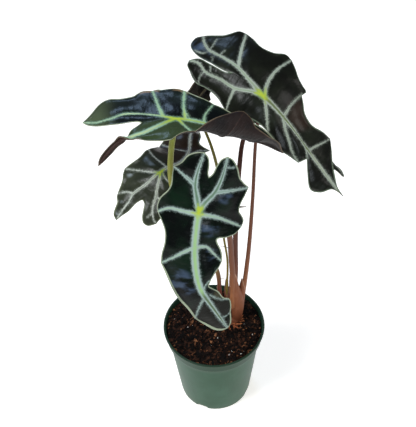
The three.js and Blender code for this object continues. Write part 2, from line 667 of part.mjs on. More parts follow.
// The leaves as they stand: the midrib's points in space with the way the blade faces there, and for each
// half its fold at the midrib and its curl in degrees a centimetre; then the stalk's points and radii
const LEAVES = [
  {
    name: 'back_right',
    plan: BACK_PLAN,
    spacing: 11,
    spine: [
      { u: -95, at: [-26, 104, 383], face: [0.25, -0.55, 0.80], left: [-4, -5], right: [-10, -6] },
      { u: -71, at: [-7, 88, 389], face: [0.25, -0.60, 0.76], left: [-4, -5], right: [-14, -6] },
      { u: -31, at: [24.5, 64.5, 391], face: [0.28, -0.62, 0.74], left: [-4, -5], right: [-18, -7] },
      { u: 0, at: [48, 45.5, 381.5], face: [0.30, -0.62, 0.72], left: [-2, -5], right: [-18, -7] },
      { u: 31, at: [68, 31.5, 364.5], face: [0.35, -0.62, 0.70], left: [-2, -5], right: [-16, -7] },
      { u: 70, at: [92, 15, 334], face: [0.40, -0.62, 0.66], left: [-4, -5], right: [-10, -6] },
      { u: 108, at: [111.5, 3, 307.5], face: [0.47, -0.62, 0.62], left: [-6, -5], right: [-8, -5] },
      { u: 125, at: [120.5, -0.5, 297.5], face: [0.50, -0.62, 0.60], left: [-6, -4], right: [-6, -4] },
    ],
    stalk: [
      [29.5, 10.5, 132], [33, 14, 164], [37, 21, 208], [40.5, 32, 265], [43, 44, 324], [46, 48.5, 360],
    ],
    radii: [2.6, 2.2, 1.8, 1.6, 1.4],
    stalkFinish: STALK_BROWN,
  },
  {
    name: 'side_left',
    plan: SIDE_PLAN,
    spacing: 11,
    wring: { from: -37, to: -47, foot: [-39, -14], head: [-73, -30.5], turn: 135 },
    spine: [
      { u: -82, at: [-108, 0, 380], face: [0, 0, 1], left: [-5, -2], right: [-14, -8] },
      { u: -56, at: [-84, 3, 387], face: [0, 0, 1], left: [0, -2], right: [-8, -4] },
      { u: -28, at: [-56, 6, 389.5], face: [0, 0, 1], left: [2, -2], right: [2, -2] },
      { u: 0, at: [-28, 8, 390.5], face: [0, 0, 1], left: [4, -3], right: [4, 3] },
      { u: 24, at: [-4, 4, 388.5], face: [0, -0.05, 1], left: [6, -3], right: [-15, 36] },
      { u: 42, at: [13, 2, 381], face: [0, -0.1, 1], left: [12, -2], right: [5, 36] },
      { u: 57, at: [27, 1, 374], face: [0, -0.1, 1], left: [17, -2], right: [20, 31] },
      { u: 80, at: [48, 0, 365.7], face: [0.1, -0.1, 1], left: [20, -2], right: [50, 8] },
      { u: 97, at: [64, -2, 356], face: [0.2, -0.1, 1], left: [20, -2], right: [50, 5] },
    ],
    stalk: [
      [9.5, 5, 128], [6.8, 7, 151], [4.9, 6, 187], [-17, 2, 250], [-34, 2, 317], [-33, 6, 354],
      [-29, 8.5, 380],
    ],
    radii: [2.3, 2.1, 2.2, 2.4, 2.6, 2.6],
    stalkFinish: STALK_OLIVE,
  },
  {
    name: 'low_left',
    plan: LOW_PLAN,
    spacing: 12,
    spine: [
      { u: -57, at: [-74, -5, 271], face: [-0.3, -0.6, 0.75], left: [-5, -4], right: [-5, -4] },
      { u: -30, at: [-62, 10, 290], face: [-0.25, -0.55, 0.8], left: [-4, -4], right: [-6, -4] },
      { u: 0, at: [-45, 28, 307], face: [-0.2, -0.45, 0.87], left: [-2, -4], right: [-8, -4] },
      { u: 28, at: [-27, 48, 299], face: [-0.1, -0.2, 0.95], left: [8, -4], right: [-8, -4] },
      { u: 48, at: [-19, 66, 295], face: [-0.1, -0.1, 1], left: [8, -4], right: [-8, -4] },
      { u: 70, at: [-17, 88, 296], face: [0, 0.1, 1], left: [0, -4], right: [-8, -4] },
      { u: 98, at: [-10, 112, 280], face: [0, 0.3, 0.95], left: [-10, -5], right: [-10, -5] },
    ],
    stalk: [[8, 15, 132], [5, 22, 165], [-4, 28, 210], [-22, 32, 260], [-38, 31, 290]],
    radii: [2.0, 1.8, 1.7, 1.7],
    stalkFinish: STALK_BROWN,
  },
  {
    name: 'front',
    plan: FRONT_PLAN,
    spacing: 11,
    spine: [
      { u: -56, at: [5, -22, 383], face: [0, -0.85, 0.45], left: [-8, -5], right: [-8, -5] },
      { u: -31, at: [-1, -33, 361], face: [0, -0.85, 0.45], left: [-8, -5], right: [-8, -5] },
      { u: 0, at: [-10, -45, 333], face: [0, -0.85, 0.45], left: [-6, -6], right: [-6, -6] },
      { u: 37, at: [-15, -63, 301], face: [0, -0.9, 0.4], left: [-8, -6], right: [-8, -6] },
      { u: 72, at: [-12, -77, 270], face: [0, -0.95, 0.3], left: [-12, -6], right: [-8, -6] },
      { u: 99, at: [-1, -82, 246], face: [0.1, -0.97, 0.2], left: [-10, -5], right: [-8, -5] },
      { u: 130, at: [12, -85, 218], face: [0.2, -1, 0.1], left: [-6, -4], right: [-6, -4] },
    ],
    stalk: [[19.5, 5, 130], [20.2, 6.5, 172], [19, 5.5, 205], [17, 2, 245], [11, -8, 290], [2, -26, 326]],
    radii: [3.1, 3, 2.7, 2.5, 2.1],
    stalkFinish: STALK_BROWN,
  },
  {
    name: 'hidden_small',
    plan: shrunk(FRONT_PLAN, 0.36, 0.44),
    spacing: 14,
    spine: [
      { u: -20, at: [-27, 71, 327], face: [-0.3, 0.9, -0.2], left: [-2, -4], right: [-2, -4] },
      { u: -10, at: [-22, 73, 336], face: [-0.3, 0.9, -0.2], left: [-2, -4], right: [-2, -4] },
      { u: 0, at: [-16, 75, 344], face: [-0.3, 0.85, -0.25], left: [-5, -4], right: [-5, -4] },
      { u: 16, at: [-5, 84, 352], face: [-0.3, 0.8, -0.35], left: [-6, -4], right: [-6, -4] },
      { u: 32, at: [5, 96, 355], face: [-0.3, 0.7, -0.6], left: [-6, -4], right: [-6, -4] },
      { u: 47, at: [13, 108, 353], face: [-0.3, 0.6, -0.8], left: [-6, -4], right: [-6, -4] },
    ],
    stalk: [
      [14, 19, 130], [15.5, 26, 180], [12.5, 33, 206], [11, 40, 242], [7, 47, 295], [-2, 59, 325.5],
      [-12.5, 71, 341],
    ],
    radii: [1.2, 1.1, 1.2, 1.5, 1.1],
    stalkFinish: STALK_OLIVE,
  },
  {
    name: 'hidden_back',
    plan: shrunk(FRONT_PLAN, 0.93, 0.3),
    spacing: 14,
    spine: [
      { u: -52, at: [36, 115, 356], face: [0.25, -0.5, 0.8], left: [-8, -9], right: [-8, -9] },
      { u: -29, at: [39, 96, 350], face: [0.25, -0.5, 0.8], left: [-8, -9], right: [-8, -9] },
      { u: 0, at: [45, 75, 339], face: [0.3, -0.5, 0.75], left: [-12, -10], right: [-12, -10] },
      { u: 60, at: [84, 54, 318.5], face: [0.6, -0.05, 0.7], left: [-30, -10], right: [-30, -10] },
      { u: 100, at: [115, 47, 294.5], face: [0.6, 0.05, 0.65], left: [-35, -6], right: [-35, -6] },
      { u: 121, at: [128, 44, 277.5], face: [0.65, 0.15, 0.6], left: [-35, -4], right: [-35, -4] },
    ],
    stalk: [
      [21.5, 13, 130], [23.3, 15.5, 172], [23.6, 22, 222], [28, 41, 295], [32.3, 60, 313], [40, 72, 326],
    ],
    radii: [2.6, 2.6, 2.4, 1.9],
    stalkFinish: STALK_BROWN,
  },
];

// The stalk ends a small gap short of the blade's keel, square under the point where the midrib starts
function stalkPoints(leaf) {
  const seat = hang(leaf, 0, 0);
  const ahead = hang(leaf, 3, 0).sub(hang(leaf, -3, 0));
  const side = hang(leaf, 0, 3).sub(hang(leaf, 0, -3));
  const face = ahead.cross(side).normalize();
  const end = seat.addScaledVector(face, -(BLADE_THICKNESS / 2 + MIDRIB_KEEL + STALK_CLEARANCE));
  return [...leaf.stalk, end.toArray()];
}

function stalkGeometry(leaf, extra) {
  const radii = leaf.radii.map((radius) => radius + extra);
  return rod(stalkPoints(leaf), radii, STALK_SIDES, STALK_STEPS);
}

// A thin stalk's own small sheath, from the neck to a little above the stalk's foot
function smallSheath({ stalk, radii }) {
  const [foot, next] = stalk;
  const low = [
    THREE.MathUtils.lerp(NECK[0], foot[0], SHEATH_LEAN),
    THREE.MathUtils.lerp(NECK[1], foot[1], SHEATH_LEAN),
    SHEATH_FOOT,
  ];
  const belly = foot.map((value, c) => THREE.MathUtils.lerp(value, low[c], SHEATH_BELLY));
  const top = foot.map((value, c) => THREE.MathUtils.lerp(value, next[c], SHEATH_REACH));
  const outside = SHEATH_WALLS.map((wall, k) => radii[Math.max(0, k - 1)] + wall);
  return rod([low, belly, foot, top], [SHEATH_FOOT_RADIUS, ...outside], SHEATH_SIDES, SHEATH_STEPS);
}

// A broad sheath, flattened from front to back
function broadSheath(path, radii) {
  const sheath = rod(path, radii, FAN_SIDES, FAN_STEPS);
  sheath.translate(0, -NECK[1], 0);
  sheath.scale(1, FAN_FLATNESS, 1);
  sheath.translate(0, NECK[1], 0);
  return sheath;
}

// The three thick stalks stand in two broad sheaths that have grown together, the thin ones in small sheaths
// beside them; all run together in one neck, which goes into the mix
function crownGeometry() {
  const height = NECK_TOP - NECK_BOTTOM;
  const neck = new THREE.CylinderGeometry(NECK_RADIUS - NECK_TAPER, NECK_RADIUS, height, NECK_SIDES);
  neck.rotateX(Math.PI / 2);
  neck.translate(NECK[0], NECK[1], (NECK_TOP + NECK_BOTTOM) / 2);
  let crown = toSolid(neck);
  for (const sheath of [broadSheath(FAN_PATH, FAN_RADII), broadSheath(WING_PATH, WING_RADII)]) {
    crown = crown.add(toSolid(sheath));
  }
  for (const leaf of LEAVES) {
    if (leaf.radii[0] < THIN_STALK) crown = crown.add(toSolid(smallSheath(leaf)));
  }
  for (const leaf of LEAVES) crown = crown.subtract(toSolid(stalkGeometry(leaf, GAP)));
  return toGeometry(crown);
}

place('pot', potGeometry(), POT_GREEN);
place('soil', soilGeometry(), SOIL_BROWN);
place('crown', crownGeometry(), SHEATH_PINK);
for (const leaf of LEAVES) {
  place(`stalk_${leaf.name}`, stalkGeometry(leaf, 0), leaf.stalkFinish);
  place(`blade_${leaf.name}`, bladeGeometry(leaf), BLADE_GREEN);
}

export default part;
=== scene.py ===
# %% [markdown]
# # A potted polly alocasia
# The plant is an arum with thick, nearly black leaves that carry pale green ribs. Its stalks rise from a
# short, sheathed crown in a green nursery pot. The engineering model already says where each leaf, stalk
# and pot wall is. This lesson dresses it: every piece is made again with finer form, in metres, in the
# same place.

# %% The frame that every piece is fitted to
import json
import math
import bpy
import numpy as np
from mathutils import Matrix, Vector, noise

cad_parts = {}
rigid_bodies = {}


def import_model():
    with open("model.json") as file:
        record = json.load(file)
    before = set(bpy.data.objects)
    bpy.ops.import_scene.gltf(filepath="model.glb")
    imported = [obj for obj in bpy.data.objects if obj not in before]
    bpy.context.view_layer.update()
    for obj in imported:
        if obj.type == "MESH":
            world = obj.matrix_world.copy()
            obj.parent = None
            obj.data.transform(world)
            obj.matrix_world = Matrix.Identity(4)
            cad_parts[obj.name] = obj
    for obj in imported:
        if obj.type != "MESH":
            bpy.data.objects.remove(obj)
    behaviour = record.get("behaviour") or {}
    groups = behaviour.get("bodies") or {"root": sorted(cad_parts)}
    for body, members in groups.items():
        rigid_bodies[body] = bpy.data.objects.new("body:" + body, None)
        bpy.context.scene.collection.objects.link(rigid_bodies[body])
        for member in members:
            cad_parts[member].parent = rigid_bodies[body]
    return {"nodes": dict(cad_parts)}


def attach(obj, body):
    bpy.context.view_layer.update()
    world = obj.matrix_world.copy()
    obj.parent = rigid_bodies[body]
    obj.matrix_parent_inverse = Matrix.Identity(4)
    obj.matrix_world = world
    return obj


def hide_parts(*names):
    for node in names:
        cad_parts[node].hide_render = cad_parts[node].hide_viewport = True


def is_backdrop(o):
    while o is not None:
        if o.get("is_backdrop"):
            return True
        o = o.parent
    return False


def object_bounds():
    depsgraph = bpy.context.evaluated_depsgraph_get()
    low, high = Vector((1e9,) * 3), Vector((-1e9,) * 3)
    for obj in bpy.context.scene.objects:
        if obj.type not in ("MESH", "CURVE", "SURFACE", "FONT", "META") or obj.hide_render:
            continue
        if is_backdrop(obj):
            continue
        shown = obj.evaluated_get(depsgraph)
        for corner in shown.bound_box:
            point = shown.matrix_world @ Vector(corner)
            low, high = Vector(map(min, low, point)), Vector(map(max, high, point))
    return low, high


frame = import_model()
cad_box = [list(corner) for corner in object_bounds()]
MM = 0.001
print("pieces of the frame:", ", ".join(sorted(frame["nodes"])))

# %% [markdown]
# ## Camera, floor and light
# The photo looks down on the pot at about 48 degrees from a little over a metre away. The camera's place
# and turn were fitted to the rim, the base and the foot of the pot. The set is a white floor with large
# soft lights: dark glossy leaves show mainly what they mirror, so the lights are broad, and the sky
# behind them is dim.

# %% The photo's camera
PHOTO_SIZE = (416, 427)
FOCAL_PIXELS = 1000
CAMERA_PLACE = (-0.002573, -0.617665, 0.961823)
lens = bpy.data.cameras.new("photo_lens")
lens.sensor_width = 36
lens.lens = lens.sensor_width * FOCAL_PIXELS / max(PHOTO_SIZE)
lens.clip_start = 0.01
camera = bpy.data.objects.new("photo_camera", lens)
bpy.context.scene.collection.objects.link(camera)
camera_right = Vector((0.99949, -0.02365, -0.02141)).normalized()
camera_up = Vector((0.03189, 0.74092, 0.67083)).normalized()
turn = Matrix((camera_right, camera_up, camera_right.cross(camera_up))).transposed()
camera.matrix_world = Matrix.Translation(CAMERA_PLACE) @ turn.to_4x4()
bpy.context.scene.camera = camera
bpy.context.scene.view_settings.view_transform = "Standard"
print(f"lens {lens.lens:.1f} mm")

# %% [markdown]
# Materials and Geometry Nodes are both trees of nodes. They could be wired up one socket at a time, but
# then the sums drown in wiring. So one small class stands for a node's output and can be added,
# subtracted and multiplied like a number, and one method makes every other node from its type, its
# settings and its inputs.

# %% One helper for every node tree, and sums on its wires
class Wire:
    """An output of a node; sums with numbers and other wires add the Math nodes that they need."""

    def __init__(self, tree, socket):
        self.tree = tree
        self.socket = socket

    def sum(self, operation, *values):
        return self.tree.add("ShaderNodeMath", {"operation": operation}, dict(enumerate(values)))


for sign, operation in (("add", "ADD"), ("sub", "SUBTRACT"), ("mul", "MULTIPLY")):
    setattr(Wire, f"__{sign}__", lambda wire, other, kind=operation: wire.sum(kind, wire, other))
    setattr(Wire, f"__r{sign}__", lambda wire, other, kind=operation: wire.sum(kind, other, wire))


class Tree:
    """A node tree under construction."""

    def add(self, kind, settings=None, values=None, output=0):
        node = self.nodes.new(kind)
        for key, value in (settings or {}).items():
            if key == "stops":
                stops = node.color_ramp.elements
                while len(stops) < len(value):
                    stops.new(0.5)
                for stop, (position, colour) in zip(stops, value):
                    stop.position = position
                    stop.color = (*colour, 1)
            else:
                setattr(node, key, value)
        for key, value in (values or {}).items():
            socket = node.inputs[key]
            if isinstance(value, Wire):
                self.links.new(value.socket, socket)
            elif isinstance(value, tuple) and socket.type == "RGBA" and len(value) == 3:
                socket.default_value = (*value, 1)
            else:
                socket.default_value = value
        return Wire(self, node.outputs[output]) if node.outputs else None


print("a wire adds, subtracts and multiplies")

# %% [markdown]
# A finish is a material that ends in the Principled shader. The methods below are the few nodes that
# every finish of this plant is made from: noise, soft steps, blends, colour ramps and bump. Most of the
# dry, grainy stuff in the pot needs only one noise that runs through a few colours, so one function makes
# all such finishes.

# %% Finishes
def srgb(red, green, blue):
    """A colour as a screen shows it, 0 to 255, in the linear values that a shader takes."""
    shares = (value / 255 for value in (red, green, blue))
    return tuple(c / 12.92 if c <= 10 / 255 else ((c + 0.055) / 1.055) ** 2.4 for c in shares)


class Finish(Tree):
    """A material whose nodes are added one by one and end in a Principled shader."""

    def __init__(self, name):
        self.material = bpy.data.materials.new(name)
        self.material.use_nodes = True
        self.nodes = self.material.node_tree.nodes
        self.links = self.material.node_tree.links
        self.nodes.clear()
        self.spot = self.add("ShaderNodeTexCoord", output="Object")

    def stored(self, name):
        return self.add("ShaderNodeAttribute", {"attribute_name": name}, output="Fac")

    def noise(self, scale, detail=3, roughness=0.55, where=None):
        values = {"Vector": where or self.spot, "Scale": scale, "Detail": detail, "Roughness": roughness}
        return self.add("ShaderNodeTexNoise", None, values, "Fac")

    def streaks(self, across, along, detail=3):
        """Noise that is drawn out along the upright axis."""
        drawn = self.add("ShaderNodeMapping", None, {"Vector": self.spot, "Scale": (across, across, along)})
        return self.noise(1, detail, where=drawn)

    def height(self):
        return self.add("ShaderNodeSeparateXYZ", None, {"Vector": self.spot}, "Z")

    def ease(self, value, low, high, start=0, end=1):
        values = {"Value": value, "From Min": low, "From Max": high, "To Min": start, "To Max": end}
        return self.add("ShaderNodeMapRange", {"interpolation_type": "SMOOTHSTEP"}, values)

    def blend(self, share, first, second):
        return self.add("ShaderNodeMix", {"data_type": "RGBA"}, {0: share, 6: first, 7: second}, output=2)

    def ramp(self, value, *stops):
        """Screen colours at shares from 0 to 1, blended between them."""
        stops = [(share, srgb(*colour)) for share, colour in stops]
        return self.add("ShaderNodeValToRGB", {"stops": stops}, {"Fac": value})

    def bump(self, height, distance, strength):
        values = {"Height": height, "Distance": distance, "Strength": strength}
        return self.add("ShaderNodeBump", None, values)

    def finish(self, **values):
        values = {key.replace("_", " "): value for key, value in values.items()}
        shader = self.add("ShaderNodeBsdfPrincipled", None, values, "BSDF")
        self.add("ShaderNodeOutputMaterial", None, {"Surface": shader})
        return self.material


def grainy(name, noise, stops, roughness, bump, shine=0.5, tone=None):
    """A finish that runs through colours with one noise; tone mixes in the shade that each copy stores."""
    skin = Finish(name)
    grain = skin.noise(*noise)
    shade = skin.stored("tone") * tone[0] + grain * tone[1] if tone else grain
    return skin.finish(Base_Color=skin.ramp(shade, *stops), Roughness=roughness, Specular_IOR_Level=shine,
                       Normal=skin.bump(grain, *bump))


print("a middle grey of 128 is", round(srgb(128, 128, 128)[0], 3), "to a shader")

# %% [markdown]
# The floor is a sheet of slightly warm white paper that glows a little, as an overexposed backdrop does.
# The lamps are soft boxes: the strongest stands to the left, and a small blue one behind gives the leaves
# their cool sheen.

# %% Floor, sky and lamps
def linked(name, data):
    """An object for some data, in the scene."""
    thing = bpy.data.objects.new(name, data)
    bpy.context.scene.collection.objects.link(thing)
    return thing


def mesh_object(name, points, faces, *materials):
    mesh = bpy.data.meshes.new(name)
    mesh.from_pydata([tuple(point) for point in points], [], [tuple(face) for face in faces])
    for material in materials:
        mesh.materials.append(material)
    return linked(name, mesh)


paper = Finish("white_paper")
paper_white = paper.blend(paper.noise(8), (0.88, 0.86, 0.83), (0.92, 0.9, 0.87))
paper.finish(Base_Color=paper_white, Roughness=0.95, Emission_Color=(1.0, 0.965, 0.92),
             Emission_Strength=0.55)
FLOOR_HALF, FLOOR_DROP = 3.0, 0.0004
corners = [(x * FLOOR_HALF, y * FLOOR_HALF, -FLOOR_DROP) for x, y in ((-1, -1), (1, -1), (1, 1), (-1, 1))]
mesh_object("floor", corners, [(0, 1, 2, 3)], paper.material)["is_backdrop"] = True

sky = bpy.data.worlds.new("studio")
sky.use_nodes = True
sky.node_tree.nodes["Background"].inputs["Color"].default_value = (0.82, 0.88, 1.0, 1)
sky.node_tree.nodes["Background"].inputs["Strength"].default_value = 0.16
bpy.context.scene.world = sky


def softbox(name, place, aim, width, height, power, colour):
    lamp = bpy.data.lights.new(name, "AREA")
    lamp.shape = "RECTANGLE"
    lamp.size, lamp.size_y = width, height
    lamp.energy = power
    lamp.color = colour
    turn = (Vector(aim) - Vector(place)).to_track_quat("-Z", "Y")
    linked(name, lamp).matrix_world = Matrix.Translation(place) @ turn.to_matrix().to_4x4()


softbox("window_left", (-0.95, -0.55, 1.85), (0, 0, 0.3), 0.8, 0.8, 30, (0.95, 0.98, 1.0))
softbox("window_behind", (-0.35, 1.25, 1.6), (0, 0, 0.35), 0.5, 0.3, 7, (0.5, 0.7, 1.0))
softbox("window_front", (0.35, -1.7, 1.15), (0, 0, 0.25), 0.5, 0.5, 9, (0.85, 0.93, 1.0))
softbox("window_right", (1.3, -0.5, 1.5), (0, 0, 0.25), 0.8, 0.8, 9, (1.0, 0.97, 0.93))
print("set:", FLOOR_HALF * 2, "m of floor and four soft lamps")

# %% [markdown]
# ## The pot
# A nursery pot is thin moulded plastic: a tapered wall, a raised band under a rolled lip, and notches
# round the foot that let water out. It could be a cone with a bevel, but the lip catches the light all
# round, so its profile is written point by point and turned about the upright axis, and the notches are
# cut afterwards.

# %% Sizes of the pot
POT_HEIGHT, RIM_RADIUS, BASE_RADIUS = 106.5, 53, 38
WALL, FLOOR_THICKNESS = 1.3, 2.5
BAND_HEIGHT, BAND_STEP, LIP_RADIUS = 13, 2.4, 1.0
FOOT_RING, FOOT_ROUND, BAND_ROUND, INNER_ROUND = 4.5, 1.2, 0.9, 0.7
WALL_SHIFT = 0.5
POT_SIDES = 176
NOTCHES, NOTCH_WIDTH, NOTCH_HEIGHT, NOTCH_ROUND, FIRST_NOTCH = 4, 12, 4.5, 2.5, -114


def wall_radius(z):
    """Outside radius of the tapered wall at a height, in millimetres."""
    return BASE_RADIUS + (RIM_RADIUS - LIP_RADIUS - BAND_STEP - BASE_RADIUS) * z / POT_HEIGHT


def band_radius(z):
    """Outside radius of the raised band; it keeps the wall's taper."""
    return wall_radius(z) + BAND_STEP


band_foot = POT_HEIGHT - BAND_HEIGHT
step_foot = band_foot - BAND_STEP
print(f"radius: foot {wall_radius(0)}, under the band {wall_radius(step_foot):.1f}, lip {RIM_RADIUS} mm")


# %% The pot's profile
def arc(centre, radius, start, end, steps):
    """Points of a round corner as [radius, height]; angles in degrees."""
    turns = np.radians(np.linspace(start, end, steps))
    return [[centre[0] + radius * math.cos(a), centre[1] + radius * math.sin(a)] for a in turns]


top_radius = band_radius(POT_HEIGHT)
lip_foot = POT_HEIGHT - 2 * LIP_RADIUS
ring = BASE_RADIUS - FOOT_RING
profile = [[0, FOOT_ROUND], [ring - 2.5, FOOT_ROUND], [ring - 1, FOOT_ROUND / 2], [ring, 0]]
profile += arc((BASE_RADIUS - FOOT_ROUND, FOOT_ROUND), FOOT_ROUND, -90, 0, 6)
profile += [[wall_radius(z), z] for z in np.linspace(6, step_foot - 1.2, 14)]
profile += [[wall_radius(step_foot) + 0.3, step_foot]]
profile += arc((band_radius(band_foot) - BAND_ROUND, band_foot + 0.4), BAND_ROUND, -50, 0, 5)
profile += [[top_radius - 0.15, lip_foot - 1.2], [top_radius, lip_foot]]
profile += arc((top_radius, POT_HEIGHT - LIP_RADIUS), LIP_RADIUS, -80, 90, 10)
profile += arc((top_radius - WALL + INNER_ROUND, POT_HEIGHT - INNER_ROUND), INNER_ROUND, 90, 180, 5)
profile += [[band_radius(band_foot) - WALL, band_foot + WALL_SHIFT]]
profile += [[wall_radius(step_foot) - WALL, step_foot + WALL_SHIFT]]
profile += [[wall_radius(FLOOR_THICKNESS + 2) - WALL, FLOOR_THICKNESS + 2]]
profile += [[wall_radius(FLOOR_THICKNESS) - WALL - 1.5, FLOOR_THICKNESS], [0, FLOOR_THICKNESS]]
print("pot profile points:", len(profile))


# %% The turned wall
def turned(profile, sides):
    """A closed surface of revolution; a profile point on the axis becomes one pole."""
    points, rows, faces = [], [], []
    for r, z in profile:
        corners = sides if r > 0 else 1
        rows.append([len(points) + k % corners for k in range(sides)])
        for k in range(corners):
            a = 2 * math.pi * k / sides
            points.append((r * math.cos(a) * MM, r * math.sin(a) * MM, z * MM))
    for low, high in zip(rows, rows[1:]):
        for k in range(sides):
            face = dict.fromkeys([low[k], low[(k + 1) % sides], high[(k + 1) % sides], high[k]])
            if len(face) > 2:
                faces.append(list(face))
    return points, faces


pot = mesh_object("nursery_pot", *turned(profile, POT_SIDES))
print("faces of the turned wall:", len(pot.data.polygons))

# %% [markdown]
# The notches go right through the ring that the pot stands on. Modelling them into the turned wall would
# spoil its even rows, so each is cut out by a block with a round top, and the Boolean is applied at once.

# %% Notches round the foot
def notch(turn):
    """A block with a round top, for cutting; it sits across the pot's foot at that turn in degrees."""
    half = NOTCH_WIDTH / 2
    outline = [(-half, -1), (half, -1)]
    outline += [(half * math.cos(a), NOTCH_HEIGHT - NOTCH_ROUND + NOTCH_ROUND * math.sin(a))
                for a in np.linspace(0, math.pi, 12)]
    points = [(x * MM, y * MM, z * MM) for x in (BASE_RADIUS - 5, BASE_RADIUS + 3) for y, z in outline]
    n = len(outline)
    faces = [list(range(n))[::-1], list(range(n, 2 * n))]
    faces += [[k, (k + 1) % n, n + (k + 1) % n, n + k] for k in range(n)]
    block = mesh_object("notch", points, faces)
    block.data.transform(Matrix.Rotation(math.radians(turn), 4, "Z"))
    return block


def applied(piece):
    """The piece with its modifiers turned into a plain mesh."""
    shape = bpy.data.meshes.new_from_object(piece.evaluated_get(bpy.context.evaluated_depsgraph_get()))
    piece.modifiers.clear()
    old, piece.data = piece.data, shape
    bpy.data.meshes.remove(old)
    shape.name = piece.name
    return piece


for k in range(NOTCHES):
    block = notch(FIRST_NOTCH + 360 * k / NOTCHES)
    cut = pot.modifiers.new("cut", "BOOLEAN")
    cut.operation = "DIFFERENCE"
    cut.solver = "EXACT"
    cut.object = block
    applied(pot)
    bpy.data.objects.remove(block)
print("pot faces:", len(pot.data.polygons))

# %% [markdown]
# The plastic is a dusty grey-green, darker and greener on the band and the lip. Its satin skin has faint
# upright draw marks from the mould and a little dried water near the foot. The colours depend on the
# height over the floor, so the material reads it from the Object coordinates.

# %% Pot plastic
def dress(piece, slot, *nodes, sharp=180):
    """Shades the piece softly up to an angle, lets it ride and hides the nodes it stands for; slot is not
    used.
    """
    if sharp > 0:
        piece.data.shade_smooth()
    if 0 < sharp < 180:
        piece.data.set_sharp_from_angle(angle=math.radians(sharp))
    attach(piece, "root")
    if nodes:
        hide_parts(*nodes)
    places = np.array([v.co for v in piece.data.vertices]) * 1000
    size = " x ".join(f"{span:.0f}" for span in np.ptp(places, axis=0))
    print(f"{piece.name}: {size} mm, {len(piece.data.polygons)} faces")


LIP_FADE, BAND_FADE, SPLASH_FADE = (0.1030, 0.1048), (0.084, 0.096), (0.012, 0.0)
plastic = Finish("dusty_green_plastic")
height = plastic.height()
marks = plastic.streaks(420, 18, 2)
cloud = plastic.noise(38, 4)
green = plastic.blend(plastic.ease(cloud, 0.35, 0.75), srgb(44, 78, 58), srgb(58, 91, 72))
green = plastic.blend(plastic.ease(height, *BAND_FADE) * 0.55, green, srgb(22, 44, 32))
green = plastic.blend(plastic.ease(height, *SPLASH_FADE) * 0.3, green, srgb(76, 96, 84))
green = plastic.blend(plastic.ease(height, *LIP_FADE), green, srgb(37, 56, 42))
plastic.finish(Base_Color=green, Roughness=0.3 + 0.15 * cloud, Specular_IOR_Level=0.1,
               Normal=plastic.bump(marks * 0.5 + cloud * 0.5, 0.0003, 0.5))
pot.data.materials.append(plastic.material)
dress(pot, "pot_plastic", "pot", sharp=40)

# %% [markdown]
# ## Potting mix
# Peat and composted bark fill the pot to just under the lip. The body is one lumpy closed surface, with
# its height worked out from sines and noise. A plain disc with bump would look like cloth, so the lumps
# are real.

# %% Surface of the mix
SOIL_LEVEL, SOIL_BOTTOM, SOIL_EASE, WALL_GAP = 101, 2.8, 0.4, 0.3
NECK = (19, 8)
SOIL_RADIUS = band_radius(SOIL_LEVEL) - WALL - WALL_GAP - SOIL_EASE
RINGS, SECTORS = 70, 150


def soil_height(x, y):
    """Height of the mix in millimetres: broad lumps, finer crumbs, and a mound round the neck."""
    inner = 1 - min(1, math.hypot(x, y) / SOIL_RADIUS)
    lump = math.sin(x * 0.31 + 1.3) * math.sin(y * 0.27 + 0.4) + 0.5 * math.sin(x * 0.53 - y * 0.61)
    rough = noise.fractal(Vector((x * 0.16, y * 0.16, 3)), 0.7, 2.1, 5)
    lumps = min(1, inner * 4) * (1.1 * lump + 1.2 * inner)
    crumbs = 1.5 * rough * min(1, inner * 9)
    mound = 2.2 * math.exp(-((x - NECK[0]) ** 2 + (y - NECK[1]) ** 2) / 90)
    return SOIL_LEVEL + lumps + crumbs + mound


inside = WALL + WALL_GAP + SOIL_EASE
rings = [(SOIL_RADIUS * ring / RINGS, None) for ring in range(1, RINGS + 1)]
rings += [(band_radius(band_foot + 1) - inside, band_foot + 1), (wall_radius(step_foot) - inside, step_foot),
          (wall_radius(SOIL_BOTTOM) - inside - 1, SOIL_BOTTOM)]
points = [(0, 0, soil_height(0, 0))]
for radius, z in rings:
    for k in range(SECTORS):
        a = 2 * math.pi * k / SECTORS
        x, y = radius * math.cos(a), radius * math.sin(a)
        points.append((x, y, z or soil_height(x, y)))
faces = [(0, 1 + k, 1 + (k + 1) % SECTORS) for k in range(SECTORS)]
low = 1
for _ in rings[1:]:
    faces += [(low + k, low + SECTORS + k, low + SECTORS + (k + 1) % SECTORS, low + (k + 1) % SECTORS)
              for k in range(SECTORS)]
    low += SECTORS
faces += [(low + k, len(points), low + (k + 1) % SECTORS) for k in range(SECTORS)]
points.append((0, 0, SOIL_BOTTOM))
soil = mesh_object("potting_mix", np.array(points) * MM, faces)
print(f"mix: radius {SOIL_RADIUS:.1f} mm at the top")

# %% [markdown]
# Every finish of the mix is broken up by noise, and each strewn grain carries its own shade, which the
# tree stores on it before the copies are made real. So one material gives black peat, brown crumbs and
# rusty bark alike.

# %% Finishes of the mix
peat = grainy("dark_peat", (420, 5, 0.65), [(0.34, (6, 4, 3)), (0.58, (18, 11, 8)), (0.78, (48, 29, 19))],
              roughness=0.9, bump=(0.001, 0.9), shine=0.1)
crumb = grainy("crumbs_and_bark", (900,),
               [(0.4, (7, 5, 4)), (0.7, (28, 17, 12)), (0.92, (62, 36, 23)), (1.0, (150, 100, 66))],
               roughness=0.75, bump=(0.0004, 0.8), shine=0.1, tone=(0.8, 0.35))
perlite = grainy("perlite", (1500,), [(0.3, (190, 180, 165)), (0.6, (242, 240, 234))],
                 roughness=0.85, bump=(0.0003, 0.8))
soil.data.materials.append(peat)
dress(soil, "potting_mix", "soil")

